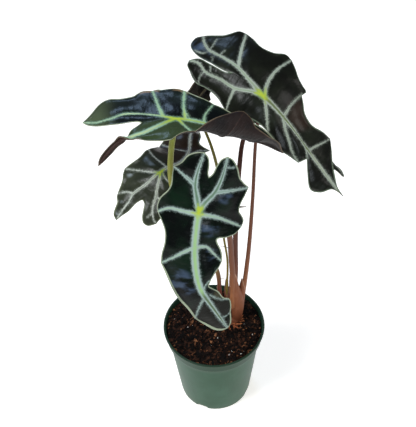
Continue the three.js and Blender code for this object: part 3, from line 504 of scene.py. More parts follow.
# %% [markdown]
# On top of the mix lie thousands of crumbs, chips of bark and grains of perlite. Placing those by hand
# would never look random, so a Geometry Nodes tree strews them over the top with a fixed seed. The tree's
# inputs are the named sizes, so the same tree makes all three: a flat lump is a chip and a round one a
# grain.

# %% A tree that ends in real faces
class Growth(Tree):
    """A Geometry Nodes tree with its finish and its named sizes as inputs; it ends in real, dressed faces."""

    def __init__(self, name, **sizes):
        self.group = bpy.data.node_groups.new(name, "GeometryNodeTree")
        self.nodes, self.links = self.group.nodes, self.group.links
        self.ids = {}
        self.group.interface.new_socket("Geometry", in_out="OUTPUT", socket_type="NodeSocketGeometry")
        self.socket("Geometry", "NodeSocketGeometry")
        self.socket("finish", "NodeSocketMaterial")
        for size, value in sizes.items():
            kind = "NodeSocketInt" if isinstance(value, int) else "NodeSocketFloat"
            self.socket(size, kind).default_value = value

    def socket(self, name, kind):
        socket = self.group.interface.new_socket(name, in_out="INPUT", socket_type=kind)
        self.ids[name] = socket.identifier
        return socket

    def given(self, name):
        return self.add("NodeGroupInput", output=name)

    def close(self, shape):
        shape = self.add("GeometryNodeRealizeInstances", None, {"Geometry": shape})
        values = {"Geometry": shape, "Material": self.given("finish")}
        self.add("NodeGroupOutput", None, {"Geometry": self.add("GeometryNodeSetMaterial", None, values)})

    def grow(self, piece, **sizes):
        """The piece's mesh becomes what the tree makes of it."""
        step = piece.modifiers.new("growth", "NODES")
        step.node_group = self.group
        for size, value in sizes.items():
            step[self.ids[size]] = value
        return applied(piece)


print("a growth's inputs are set by their identifiers")


# %% Strewing lumps over the mix
UPWARD, LUMP_WIDTH, TILT = 0.55, 0.62, 0.6


def strewing_tree():
    """Lumps on the faces that look up; flatness squashes them into chips, roundness gives them more faces."""
    tree = Growth("strewing", per_square_metre=1000.0, least=0.001, most=0.002, flatness=1.0, roundness=1,
                  seed=1)
    seed = tree.given("seed")
    up = tree.add("ShaderNodeSeparateXYZ", None, {"Vector": tree.add("GeometryNodeInputNormal")}, "Z")
    top = tree.add("FunctionNodeCompare", {"operation": "GREATER_THAN"}, {"A": up, "B": UPWARD})
    spots = tree.add("GeometryNodeDistributePointsOnFaces", None,
                     {"Mesh": tree.given("Geometry"), "Selection": top,
                      "Density": tree.given("per_square_metre"), "Seed": seed})
    ball = tree.add("GeometryNodeMeshIcoSphere", None,
                    {"Radius": 1.0, "Subdivisions": tree.given("roundness")})
    where = tree.add("GeometryNodeInputPosition")
    wobble = tree.add("ShaderNodeTexNoise", None, {"Vector": where, "Scale": 0.9, "Detail": 1.0}, "Color")
    push = tree.add("ShaderNodeVectorMath", {"operation": "MULTIPLY_ADD"},
                    {0: wobble, 1: (1.5, 1.5, 1.5), 2: (-0.75, -0.75, -0.75)})
    lump = tree.add("GeometryNodeSetPosition", None, {"Geometry": ball, "Offset": push})
    squash = tree.add("ShaderNodeCombineXYZ", None, {"X": 1.0, "Y": LUMP_WIDTH, "Z": tree.given("flatness")})
    lump = tree.add("GeometryNodeTransform", None, {"Geometry": lump, "Scale": squash})
    tilt = tree.add("FunctionNodeRandomValue", {"data_type": "FLOAT_VECTOR"},
                    {"Min": (-TILT, -TILT, 0.0), "Max": (TILT, TILT, 6.28), "Seed": seed}, "Value")
    size = tree.add("FunctionNodeRandomValue", {"data_type": "FLOAT"},
                    {2: tree.given("least"), 3: tree.given("most"), "Seed": seed}, 1)
    copies = tree.add("GeometryNodeInstanceOnPoints", None,
                      {"Points": spots, "Instance": lump, "Rotation": tilt, "Scale": size})
    shade = tree.add("FunctionNodeRandomValue", {"data_type": "FLOAT"}, {2: 0.0, 3: 1.0, "Seed": 7}, 1)
    copies = tree.add("GeometryNodeStoreNamedAttribute", {"data_type": "FLOAT", "domain": "INSTANCE"},
                      {"Geometry": copies, "Name": "tone", "Value": shade})
    tree.close(copies)
    return tree


def strew(name, finish, **sizes):
    piece = mesh_object(name, [v.co for v in soil.data.vertices], [p.vertices for p in soil.data.polygons])
    dress(strewing.grow(piece, finish=finish, **sizes), "potting_mix", sharp=0)


strewing = strewing_tree()
strew("crumbs", crumb, per_square_metre=420000.0, least=0.0006, most=0.0019, flatness=0.8, seed=11)
strew("bark_chips", crumb, per_square_metre=52000.0, least=0.0016, most=0.0042, flatness=0.28, seed=23)
strew("perlite_grains", perlite, per_square_metre=2600.0, least=0.0006, most=0.0013, flatness=0.95,
      roundness=2, seed=31)

# %% [markdown]
# ## Lines that everything else follows
# Stalks, veins and leaf edges are all smooth curves through a few points. One helper draws such a curve
# densely and lets a later step ask for a point at any share of its length, so a stalk and a vein are read
# in the same way.

# %% Smooth lines
class Line:
    """A smooth curve through points in a plane or in space, measured along its length in millimetres."""

    def __init__(self, points, per_span=30):
        p = np.asarray(points, float)
        if len(p) > 2:
            q = np.vstack([2 * p[0] - p[1], p, 2 * p[-1] - p[-2]])
            t = np.linspace(0, 1, per_span, endpoint=False)[:, None]
            parts = []
            for a, b, c, d in zip(q, q[1:], q[2:], q[3:]):
                spans = (float(np.linalg.norm(y - x)) for x, y in ((a, b), (b, c), (c, d)))
                ab, bc, cd = (max(1e-9, span) ** 0.5 for span in spans)
                leave = ((b - a) / ab - (c - a) / (ab + bc) + (c - b) / bc) * bc
                reach = ((c - b) / bc - (d - b) / (bc + cd) + (d - c) / cd) * bc
                parts.append(b * (2 * t**3 - 3 * t**2 + 1) + leave * (t**3 - 2 * t**2 + t)
                             + c * (3 * t**2 - 2 * t**3) + reach * (t**3 - t**2))
            p = np.vstack([*parts, p[-1:]])
        self.points = p
        self.marks = np.concatenate([[0], np.cumsum(np.linalg.norm(np.diff(p, axis=0), axis=1))])
        self.length = float(self.marks[-1])

    def at(self, share):
        """Points at shares of the length, 0 to 1."""
        far = np.clip(np.asarray(share, float), 0, 1) * self.length
        return np.stack([np.interp(far, self.marks, column) for column in self.points.T], axis=-1)

    def shares(self, spacing):
        """Even shares of the length, about a spacing apart."""
        return np.linspace(0, 1, max(4, round(self.length / spacing)))


def spread(stops, shares):
    """Values at shares of a length, from evenly spaced stops."""
    return np.interp(shares, np.linspace(0, 1, len(stops)), stops)


def eased(value, low, high):
    """0 below low and 1 above high, with a soft step between; low may be the larger."""
    t = np.clip((np.asarray(value, float) - low) / (high - low), 0, 1)
    return t * t * (3 - 2 * t)


print("a test line is", round(Line([[0, 0], [10, 4], [20, 0]]).length, 2), "mm long")

# %% [markdown]
# ## Leaf plans
# Each blade is drawn flat first, in millimetres: u runs along the midrib from the stalk to the tip and v
# to the left. A half has one basal vein that goes back into its lobe, side veins that end at points of
# the wavy margin, the margin's points between those ends, and the inner edge of the lobe. The spine then
# says where the midrib hangs in space, which way the blade faces, and how each half folds and curls.

# %% Plan of the back right leaf
BACK_PLAN = {
    "length": 125, "sinus": -32,
    "left": {
        "basal": [[0, 0], [-18, 3], [-31.5, 6.5], [-46, 9], [-66, 12], [-75.5, 18], [-83.5, 26.5]],
        "veins": [
            [[63, 0], [66, 10.5], [71.5, 27.5]],
            [[28, 0], [25.5, 12.5], [26, 29.5]],
            [[3, 0], [-3.5, 11], [-6.5, 28.5], [-4, 50]],
            [[-31.5, 6.5], [-39, 22.5], [-47, 44.5]],
        ],
        "margins": [
            [[115, 0.8], [109, 2], [102, 5], [88, 12.5], [78.5, 21]],
            [[61.5, 23.5], [49, 16.5], [38.5, 18], [31.5, 24.5]],
            [[27.5, 35], [21, 35.5], [13.5, 37.5], [5.5, 43]],
            [[-11.5, 50], [-19, 40.5], [-29, 37], [-38.5, 41]],
            [[-53.5, 43], [-57.5, 36], [-62, 31], [-73.5, 28]],
        ],
        "inner": [[-38.5, -1.5], [-55, 0], [-71.5, 2.5], [-82, 7.5], [-88, 13.5], [-89, 22.5]],
    },
    "right": {
        "basal": [[0, 0], [-8.5, -3.5], [-22.5, -10.5], [-41, -10], [-59, -8.5], [-67.5, -3.5], [-79.5, -3]],
        "veins": [
            [[58, 0], [63, -2], [68, -5]],
            [[28, 0], [36.5, -5], [47, -9], [56.5, -12.5], [66, -13.5]],
            [[3, 0], [15.5, -9], [29, -18.5]],
            [[-22.5, -10.5], [-21.5, -18], [-17.5, -32]],
        ],
        "margins": [
            [[115, -0.8], [108, -3.5], [102, -13.5], [93.5, -19], [78, -12]],
            [[66.5, -9]],
            [[58.5, -16], [46, -20], [37, -18]],
            [[15.5, -19.5], [2, -23.5], [-8.5, -30.5]],
            [[-40.5, -24], [-53, -21.5], [-64.5, -20], [-74.5, -12], [-79.5, -7.5]],
        ],
        "inner": [[-38.5, -2.5], [-55, -1], [-70, 0.5]],
    },
}
print("the back leaf is", BACK_PLAN["length"], "mm long from its stalk to its tip")

# %% Plan of the front leaf
FRONT_PLAN = {
    "length": 130, "sinus": -31,
    "left": {
        "basal": [[0, 0], [-8, 3], [-19, 8.5], [-33, 11], [-51, 12]],
        "veins": [
            [[113, 0], [116, 4.5], [115, 10.5]],
            [[80, 0], [72, 6], [69, 11.5]],
            [[33, 0], [33, 10], [39.5, 15.5], [51.5, 24]],
            [[3, 0], [4, 15.5], [8, 28], [13.5, 42]],
            [[-19, 8.5], [-23, 22], [-27, 38]],
        ],
        "margins": [
            [[124, 5.5]],
            [[107.5, 14.5], [99.5, 16], [95, 12.5], [86, 12], [80, 9.5], [75.5, 7.5]],
            [[60.5, 16.5], [56, 20.5]],
            [[44.5, 24], [37, 22.5], [24.5, 18.5], [23.5, 26.5], [20, 36]],
            [[7, 42], [-3, 35], [-12, 34], [-20, 36]],
            [[-30, 32], [-35, 26], [-43, 22], [-49, 17]],
        ],
        "inner": [[-35, 2.6], [-42, 4.2], [-48, 7]],
    },
    "right": {
        "basal": [[0, 0], [-10, -4], [-21, -9], [-34, -10], [-51, -8]],
        "veins": [
            [[85, 0], [91.5, -8.5], [106.5, -21.5]],
            [[33, 0], [38.5, -10.5], [43, -18], [50, -32]],
            [[3, 0], [3, -13.5], [3.5, -25.5], [9, -36.5]],
            [[-21, -9], [-26.5, -21.5], [-30.5, -31.5]],
        ],
        "margins": [
            [[129, -5], [125.5, -9.5], [115.5, -15]],
            [[87.5, -21], [79.5, -22.5], [68, -25], [57, -28.5]],
            [[41.5, -29.5], [31, -26], [22, -26.5], [14, -31.5]],
            [[4, -37], [-1.5, -35.5], [-9.5, -29.5], [-14.5, -28.5], [-23, -30.5]],
            [[-38, -25], [-46, -20.5], [-50, -14]],
        ],
        "inner": [[-35, -1.4], [-42, -2], [-48, -4]],
    },
}
print("the front leaf is", FRONT_PLAN["length"], "mm long from its stalk to its tip")

# %% Plan of the side left leaf
SIDE_PLAN = {
    "length": 97, "sinus": -28,
    "left": {
        "basal": [[0, 0], [-18, 7], [-30, 11], [-42, 13], [-52, 10.5], [-67, 11.5], [-80, 20.5]],
        "veins": [
            [[54, 0], [59, 8], [63, 17]],
            [[24, 0], [24, 9], [29.5, 23]],
            [[9, 0], [5.5, 15], [4, 37.5]],
            [[-10, 4], [-12.5, 16.5], [-15.5, 40]],
        ],
        "margins": [
            [[88, 5], [76, 12]],
            [[53, 16], [47.5, 17], [40.5, 19]],
            [[25, 24.5], [15, 27], [9, 31]],
            [[0.5, 38.5], [-4.5, 37.5], [-9, 37], [-12, 39.5]],
            [[-24, 40], [-29, 37], [-32, 34], [-42.5, 32.5], [-53.5, 35.5], [-61, 33.5], [-71, 25.5]],
        ],
        "inner": [[-31, 1.5], [-37.5, 2], [-45, 1.5], [-54.5, 2.5], [-65, 5.5], [-74.5, 12.5]],
    },
    "right": {
        "basal": [[0, 0], [-12, -7], [-19.5, -10.5], [-27.5, -14], [-36, -15.5], [-44, -19], [-50, -23],
                  [-60, -27], [-73, -30.5]],
        "veins": [
            [[62, 0], [69, -12], [74, -27]],
            [[34, 0], [40, -18], [45, -45]],
            [[2, 0], [9.5, -8], [15, -14], [20, -26]],
        ],
        "margins": [
            [[91, -8], [84, -19]],
            [[67, -29], [60, -32], [53, -39]],
            [[38, -45], [30, -40]],
            [[8.5, -31], [-3, -30.5], [-13, -29], [-25, -25], [-33, -20], [-38, -19.5], [-44, -22.5],
             [-50, -26], [-60, -30], [-68, -31.5]],
        ],
        "inner": [[-31.5, -3.5], [-38, -8.5], [-43, -14], [-50, -20], [-60, -24], [-68, -27.5]],
    },
}
print("the side leaf is", SIDE_PLAN["length"], "mm long from its stalk to its tip")

# %% Plan of the low left leaf
LOW_PLAN = {
    "length": 98, "sinus": -30,
    "left": {
        "basal": [[0, 0], [-7.5, 2], [-16.5, 4.5], [-23, 8], [-30, 11.5], [-37, 11.5], [-47, 14.5],
                  [-59, 17]],
        "veins": [
            [[48, 0], [48, 12], [59, 28]],
            [[9, 0], [8.5, 13.5], [9, 19.5], [12, 29]],
            [[0, 0], [-4.5, 6], [-8.5, 14], [-12.5, 24], [-16, 33.5]],
            [[-30, 11.5], [-30.5, 16.5], [-36.5, 27]],
        ],
        "margins": [
            [[90, 6], [79, 13], [68, 20]],
            [[46, 31], [28, 28.5]],
            [[8, 28], [1.5, 25.5], [-4, 26.5], [-10.5, 30]],
            [[-20, 31], [-24.5, 27.5], [-29.5, 26.5]],
            [[-39, 26], [-43, 22], [-48.5, 21.5], [-55, 21]],
        ],
        "inner": [[-31, 1.5], [-36, 4.5], [-44.5, 7.5], [-54, 14]],
    },
    "right": {
        "basal": [[0, 0], [-7.5, -4], [-15, -6.5], [-21.5, -9.5], [-28, -10.5], [-34, -12.5], [-40, -15.5],
                  [-45, -20.5]],
        "veins": [
            [[42, 0], [49.5, -7], [53, -19.5]],
            [[2, 0], [-2, -7.5], [-2.5, -15], [-3, -22]],
            [[-21.5, -9.5], [-22, -18], [-20, -28]],
        ],
        "margins": [
            [[84, -5], [66, -10], [58, -9], [55, -12.5]],
            [[49.5, -14], [42, -9], [22, -13]],
            [[-6, -24], [-12, -25]],
            [[-30, -24], [-36, -23]],
        ],
        "inner": [[-32, -3], [-38, -5], [-45, -7], [-49, -10], [-49.5, -14.5]],
    },
}
print("the low leaf is", LOW_PLAN["length"], "mm long from its stalk to its tip")


def shrunk(plan, length, width):
    """A smaller copy of a flat plan."""
    def small(value):
        if isinstance(value, dict):
            return {key: small(part) for key, part in value.items()}
        if isinstance(value, list) and isinstance(value[0], (int, float)):
            return [value[0] * length, value[1] * width]
        if isinstance(value, list):
            return [small(part) for part in value]
        return value * length
    return small(plan)


print("plans: back, front, side and low")

# %% How the leaves hang
def row(u, at, face, left, right=None):
    """The midrib's place at u, the blade's facing, and each half's fold and curl per 10 mm, in degrees."""
    return {"u": u, "at": at, "face": face, "left": left, "right": right or left}


LEAVES = {
    "back_right": {
        "plan": BACK_PLAN, "fineness": 1.1, "vein": 0.95,
        "widths": {"midrib": [2.8, 1.9, 1.2, 1.6, 1.5, 0.6], "left": [2.6, 1.9, 1.6, 1.3, 1.2, 1.0],
                   "right": [2.4, 1.7, 1.6, 1.4, 1.2, 1.0], "side": [1.8, 1.6, 1.4, 1.1, 0.9]},
        "twigs": [
            [[-66.5, 12], [-67, 9], [-70, 6.5], [-74.5, 6.5], [-79.5, 7.5]],
            [[-66.5, 12], [-65, 15.5], [-65, 20], [-66, 24.5]], [[-53.5, 11.5], [-51.5, 16]],
            [[-59.5, -8.5], [-62, -13], [-62.5, -17], [-62, -19]], [[-55.5, -3], [-54, -6.5]],
            [[-58.5, 6], [-56.5, 2.5]],
        ],
        "spine": [
            row(-95, [-26, 104, 383], [0.25, -0.55, 0.80], [-4, -5], [-10, -6]),
            row(-71, [-7, 88, 389], [0.25, -0.60, 0.76], [-4, -5], [-14, -6]),
            row(-31, [24.5, 64.5, 391], [0.28, -0.62, 0.74], [-4, -5], [-18, -7]),
            row(0, [48, 45.5, 381.5], [0.30, -0.62, 0.72], [-2, -5], [-18, -7]),
            row(31, [68, 31.5, 364.5], [0.35, -0.62, 0.70], [-2, -5], [-16, -7]),
            row(70, [92, 15, 334], [0.40, -0.62, 0.66], [-4, -5], [-10, -6]),
            row(108, [111.5, 3, 307.5], [0.47, -0.62, 0.62], [-6, -5], [-8, -5]),
            row(125, [120.5, -0.5, 297.5], [0.50, -0.62, 0.60], [-6, -4]),
        ],
        "stalk": [[29.5, 10.5, 132], [33, 14, 164], [37, 21, 208], [40.5, 32, 265], [43, 44, 324],
                  [46, 48.5, 360]],
        "radii": [2.6, 2.2, 1.8, 1.6, 1.4],
    },
    "side_left": {
        "plan": SIDE_PLAN, "fineness": 1.1, "vein": 0.85,
        "widths": {"midrib": [2.4, 2.3, 2.0, 1.6, 1.2, 0.7], "left": [2.2, 1.1, 0.9, 1.6, 1.9, 1.4, 0.8],
                   "right": [2.4, 3.0, 3.0, 2.8, 2.2, 1.1], "side": [2.4, 1.6, 1.2, 1.0, 0.8]},
        "twigs": [[[9, 6.5], [12.5, 0.5]]],
        "wring": {"from": -37, "to": -47, "foot": [-39, -14], "head": [-73, -30.5], "turn": 135},
        "spine": [
            row(-82, [-108, 0, 380], [0, 0, 1], [-5, -2], [-14, -8]),
            row(-56, [-84, 3, 387], [0, 0, 1], [0, -2], [-8, -4]),
            row(-28, [-56, 6, 389.5], [0, 0, 1], [2, -2]),
            row(0, [-28, 8, 390.5], [0, 0, 1], [4, -3], [4, 3]),
            row(24, [-4, 4, 388.5], [0, -0.05, 1], [6, -3], [-15, 36]),
            row(42, [13, 2, 381], [0, -0.1, 1], [12, -2], [5, 36]),
            row(57, [27, 1, 374], [0, -0.1, 1], [17, -2], [20, 31]),
            row(80, [48, 0, 365.7], [0.1, -0.1, 1], [20, -2], [50, 8]),
            row(97, [64, -2, 356], [0.2, -0.1, 1], [20, -2], [50, 5]),
        ],
        "stalk": [[9.5, 5, 128], [6.8, 7, 151], [4.9, 6, 187], [-17, 2, 250], [-34, 2, 317], [-33, 6, 354],
                  [-29, 8.5, 380]],
        "radii": [2.3, 2.1, 2.2, 2.4, 2.6, 2.6], "opens": (0.8, 0.6),
    },
    "low_left": {
        "plan": LOW_PLAN, "fineness": 1.1, "vein": 0.5,
        "twigs": [[[-38, -13.5], [-43, -10.5]], [[-38, -13.5], [-42.5, -18]]],
        "spine": [
            row(-57, [-74, -5, 271], [-0.3, -0.6, 0.75], [-5, -4]),
            row(-30, [-62, 10, 290], [-0.25, -0.55, 0.8], [-4, -4], [-6, -4]),
            row(0, [-45, 28, 307], [-0.2, -0.45, 0.87], [-2, -4], [-8, -4]),
            row(28, [-27, 48, 299], [-0.1, -0.2, 0.95], [8, -4], [-8, -4]),
            row(48, [-19, 66, 295], [-0.1, -0.1, 1], [8, -4], [-8, -4]),
            row(70, [-17, 88, 296], [0, 0.1, 1], [0, -4], [-8, -4]),
            row(98, [-10, 112, 280], [0, 0.3, 0.95], [-10, -5]),
        ],
        "stalk": [[8, 15, 132], [5, 22, 165], [-4, 28, 210], [-22, 32, 260], [-38, 31, 290]],
        "radii": [2.0, 1.8, 1.7, 1.7], "opens": (1, 0.2),
    },
    "front": {
        "plan": FRONT_PLAN, "fineness": 1.1, "vein": 1.05,
        "widths": {"midrib": [2.9, 2.9, 2.9, 2.7, 1.9, 0.9], "side": [2.1, 1.9, 1.5, 1.1, 0.7]},
        "twigs": [
            [[-42, 12.5], [-46.5, 10.5]], [[-42, 12.5], [-43, 20]],
            [[84.5, 4.5], [89.5, 6.5], [95, 9.5], [99.5, 16]],
        ],
        "spine": [
            row(-56, [5, -22, 383], [0, -0.85, 0.45], [-8, -5]),
            row(-31, [-1, -33, 361], [0, -0.85, 0.45], [-8, -5]),
            row(0, [-10, -45, 333], [0, -0.85, 0.45], [-6, -6]),
            row(37, [-15, -63, 301], [0, -0.9, 0.4], [-8, -6]),
            row(72, [-12, -77, 270], [0, -0.95, 0.3], [-12, -6], [-8, -6]),
            row(99, [-1, -82, 246], [0.1, -0.97, 0.2], [-10, -5], [-8, -5]),
            row(130, [12, -85, 218], [0.2, -1, 0.1], [-6, -4]),
        ],
        "stalk": [[19.5, 5, 130], [20.2, 6.5, 172], [19, 5.5, 205], [17, 2, 245], [11, -8, 290],
                  [2, -26, 326]],
        "radii": [3.1, 3, 2.7, 2.5, 2.1],
    },
    "hidden_small": {
        "plan": shrunk(FRONT_PLAN, 0.36, 0.44), "fineness": 1.2, "vein": 0.4,
        "spine": [
            row(-20, [-27, 71, 327], [-0.3, 0.9, -0.2], [-2, -4]),
            row(-10, [-22, 73, 336], [-0.3, 0.9, -0.2], [-2, -4]),
            row(0, [-16, 75, 344], [-0.3, 0.85, -0.25], [-5, -4]),
            row(16, [-5, 84, 352], [-0.3, 0.8, -0.35], [-6, -4]),
            row(32, [5, 96, 355], [-0.3, 0.7, -0.6], [-6, -4]),
            row(47, [13, 108, 353], [-0.3, 0.6, -0.8], [-6, -4]),
        ],
        "stalk": [[14, 19, 130], [15.5, 26, 180], [12.5, 33, 206], [11, 40, 242], [7, 47, 295],
                  [-2, 59, 325.5], [-12.5, 71, 341]],
        "radii": [1.2, 1.1, 1.2, 1.5, 1.1], "opens": (0.3, -1),
    },
    "hidden_back": {
        "plan": shrunk(FRONT_PLAN, 0.93, 0.3), "fineness": 1.6, "vein": 0.7,
        "spine": [
            row(-52, [36, 115, 356], [0.25, -0.5, 0.8], [-8, -9]),
            row(-29, [39, 96, 350], [0.25, -0.5, 0.8], [-8, -9]),
            row(0, [45, 75, 339], [0.3, -0.5, 0.75], [-12, -10]),
            row(60, [84, 54, 318.5], [0.6, -0.05, 0.7], [-30, -10]),
            row(100, [115, 47, 294.5], [0.6, 0.05, 0.65], [-35, -6]),
            row(121, [128, 44, 277.5], [0.65, 0.15, 0.6], [-35, -4]),
        ],
        "stalk": [[21.5, 13, 130], [23.3, 15.5, 172], [23.6, 22, 222], [28, 41, 295], [32.3, 60, 313],
                  [40, 72, 326]],
        "radii": [2.6, 2.6, 2.4, 1.9],
    },
}
print("leaves:", ", ".join(LEAVES))

# %% [markdown]
# ## Building a blade
# A leaf blade isn't a flat cut-out: its halves fold at the midrib, the skin swells between the veins, and
# the free edge curls up. Each field between two veins is blended from its four sides, which makes a grid
# of points that follows the real veins. Every point then remembers how far it is from the nearest vein,
# from the margin and from the stalk, so a material can paint pale veins exactly where the ribs are, with
# no picture of a leaf.

# %% From the flat plan to the hanging blade
def through(stations, values, u):
    """Smooth values at u through unevenly spaced stations, straight beyond the ends."""
    x, y, u = np.asarray(stations, float), np.asarray(values, float), np.asarray(u, float)
    last = len(x) - 1
    slope = np.array([(y[min(i + 1, last)] - y[max(i - 1, 0)]) / (x[min(i + 1, last)] - x[max(i - 1, 0)])
                      for i in range(last + 1)])
    k = np.clip(np.searchsorted(x, u) - 1, 0, last - 1)
    span = (x[k + 1] - x[k])[:, None]
    t = (u - x[k])[:, None] / span
    inside = ((2 * t**3 - 3 * t**2 + 1) * y[k] + (t**3 - 2 * t**2 + t) * span * slope[k]
              + (3 * t**2 - 2 * t**3) * y[k + 1] + (t**3 - t**2) * span * slope[k + 1])
    before = y[0] + slope[0] * (u - x[0])[:, None]
    after = y[last] + slope[last] * (u - x[last])[:, None]
    return np.where(t < 0, before, np.where(t > 1, after, inside))


def unit(vectors):
    return vectors / np.maximum(np.linalg.norm(vectors, axis=-1, keepdims=True), 1e-9)


def hang(leaf, u, v):
    """Where flat points lie once the blade hangs, in millimetres."""
    u, v = np.atleast_1d(np.asarray(u, float)), np.atleast_1d(np.asarray(v, float))
    stations = [mark["u"] for mark in leaf["spine"]]

    def read(key, where):
        return through(stations, [mark[key] for mark in leaf["spine"]], where)

    along = unit(read("at", u + 0.5) - read("at", u - 0.5))
    face = read("face", u)
    face = unit(face - along * np.sum(face * along, axis=1, keepdims=True))
    across = np.cross(face, along)
    fold, curl = np.radians(np.where(v[:, None] >= 0, read("left", u), read("right", u))).T
    curl = np.where(np.abs(curl) < 1e-6, 1e-6, curl / 10)
    width = np.abs(v)
    out = (np.sin(fold + curl * width) - np.sin(fold)) / curl
    up = (np.cos(fold) - np.cos(fold + curl * width)) / curl
    points = read("at", u) + across * (np.sign(v) * out)[:, None] + face * up[:, None]
    return wrung(leaf, points, u, v) if "wring" in leaf else points


def wrung(leaf, points, u, v):
    """A twisted lobe: its points turn more and more about the line from the wring's foot to its head."""
    wring = leaf["wring"]
    foot, head = hang({"spine": leaf["spine"]}, *np.array([wring["foot"], wring["head"]]).T)
    axis = unit(head - foot)
    turn = np.radians(wring["turn"]) * eased(-u, -wring["from"], -wring["to"]) * (v <= 0)
    arm = points - foot
    cos, sin = np.cos(turn)[:, None], np.sin(turn)[:, None]
    return foot + arm * cos + np.cross(axis, arm) * sin + axis * (arm @ axis)[:, None] * (1 - cos)


print("the front leaf joins its stalk at", np.round(hang(LEAVES["front"], 0, 0)[0], 1))

# %% [markdown]
# The flat blade is one sheet of small quads. Each field brings its own grid, and two fields that meet at
# a vein have the same points there, so those are kept once and the sheet has no seams.

# %% The grid of a flat blade
KEYS_PER_MM, KEY_SHIFT = 200, 0.137


class Sheet:
    """Collects the fields of a flat blade; points that two fields share are kept once."""

    def __init__(self):
        self.rows, self.faces, self.count = [], [], 0

    def add_field(self, points, lift, stripes, turn_over):
        self.rows.append(np.column_stack([points.reshape(-1, 2), lift.ravel(), stripes.ravel()]))
        high, wide = lift.shape
        index = self.count + np.arange(high * wide).reshape(high, wide)
        a, b, c, d = index[:-1, :-1], index[1:, :-1], index[1:, 1:], index[:-1, 1:]
        quads = np.stack([a, d, c, b] if turn_over else [a, b, c, d], axis=-1)
        self.faces.append(quads.reshape(-1, 4))
        self.count += high * wide

    def joined(self):
        rows = np.vstack(self.rows)
        keys = np.round(rows[:, :2] * KEYS_PER_MM + KEY_SHIFT).astype(int)
        _, first, merged = np.unique(keys, axis=0, return_index=True, return_inverse=True)
        faces = [list(dict.fromkeys(face)) for face in merged.reshape(-1)[np.vstack(self.faces)].tolist()]
        return rows[first], [face for face in faces if len(face) > 2]


def bare_side(points):
    """A side of a field: a curve, or a single point where the field ends in one."""
    return Line(points).at if len(points) > 1 else lambda share: np.tile(points[0], (np.size(share), 1))


def field_grid(foot, margin, vein_a, vein_b, measures, out):
    """Points blended from the four sides of a field; rows go along the rib, columns out to the margin."""
    s = ((measures - measures[0]) / (measures[-1] - measures[0]))[:, None, None]
    t = out[None, :, None]
    ribs, rim = foot(measures)[:, None], margin(s[:, 0, 0])[:, None]
    line_a, line_b = vein_a(out)[None], vein_b(out)[None]
    blend = ribs * (1 - t) + rim * t + line_a * (1 - s) + line_b * s
    blend = blend - ribs[:1] * (1 - s) * (1 - t) - ribs[-1:] * s * (1 - t)
    blend = blend - rim[:1] * (1 - s) * t - rim[-1:] * s * t
    return blend, s[:, :, 0], t[:, :, 0]


def even_marks(stops, spacing):
    """Marks about a spacing apart, with every stop among them."""
    stops = sorted(set(np.round(stops, 6)))
    marks = [np.linspace(a, b, max(2, round((b - a) / spacing)), endpoint=False)
             for a, b in zip(stops, stops[1:])]
    return np.concatenate([*marks, [stops[-1]]])


print("marks 3 apart from 0 to 10:", np.round(even_marks([0, 10], 3), 1))

# %% [markdown]
# A half blade is laid out along one rib: the midrib from the tip to the stalk, and then the basal vein
# back into the lobe. A place on it is a measure, which is negative on the midrib, 0 at the stalk and
# positive on the basal vein. Between two side veins the skin swells like a quilt, and at the margin it
# curls up.

# %% Fields, veins and margins of one plan
QUILT, QUILT_REACH, EDGE_CURL = 1.8, 1.15, 2.4
STRIPE_PITCH = 4.2
FIELD_DEPTH, CLOSER_AT_RIB, COLUMNS_AT_SINUS = 34, 1.2, 10
THIN_TO_TIP, THIN_TO_LOBE = 0.85, 0.35


def swell(s, t):
    """Height of a field over its veins, in millimetres; s goes along the rib and t out to the margin."""
    return np.sin(np.pi * s) * (QUILT * np.sin(np.pi * np.minimum(1, t * QUILT_REACH)) + EDGE_CURL * t**4)


def measure_of(basal, point):
    """The measure at which a side vein starts."""
    if point[1] == 0:
        return -float(point[0])
    shares = np.linspace(0, 1, 201)
    gaps = np.linalg.norm(basal.at(shares) - point, axis=1)
    return float(shares[gaps.argmin()] * basal.length)


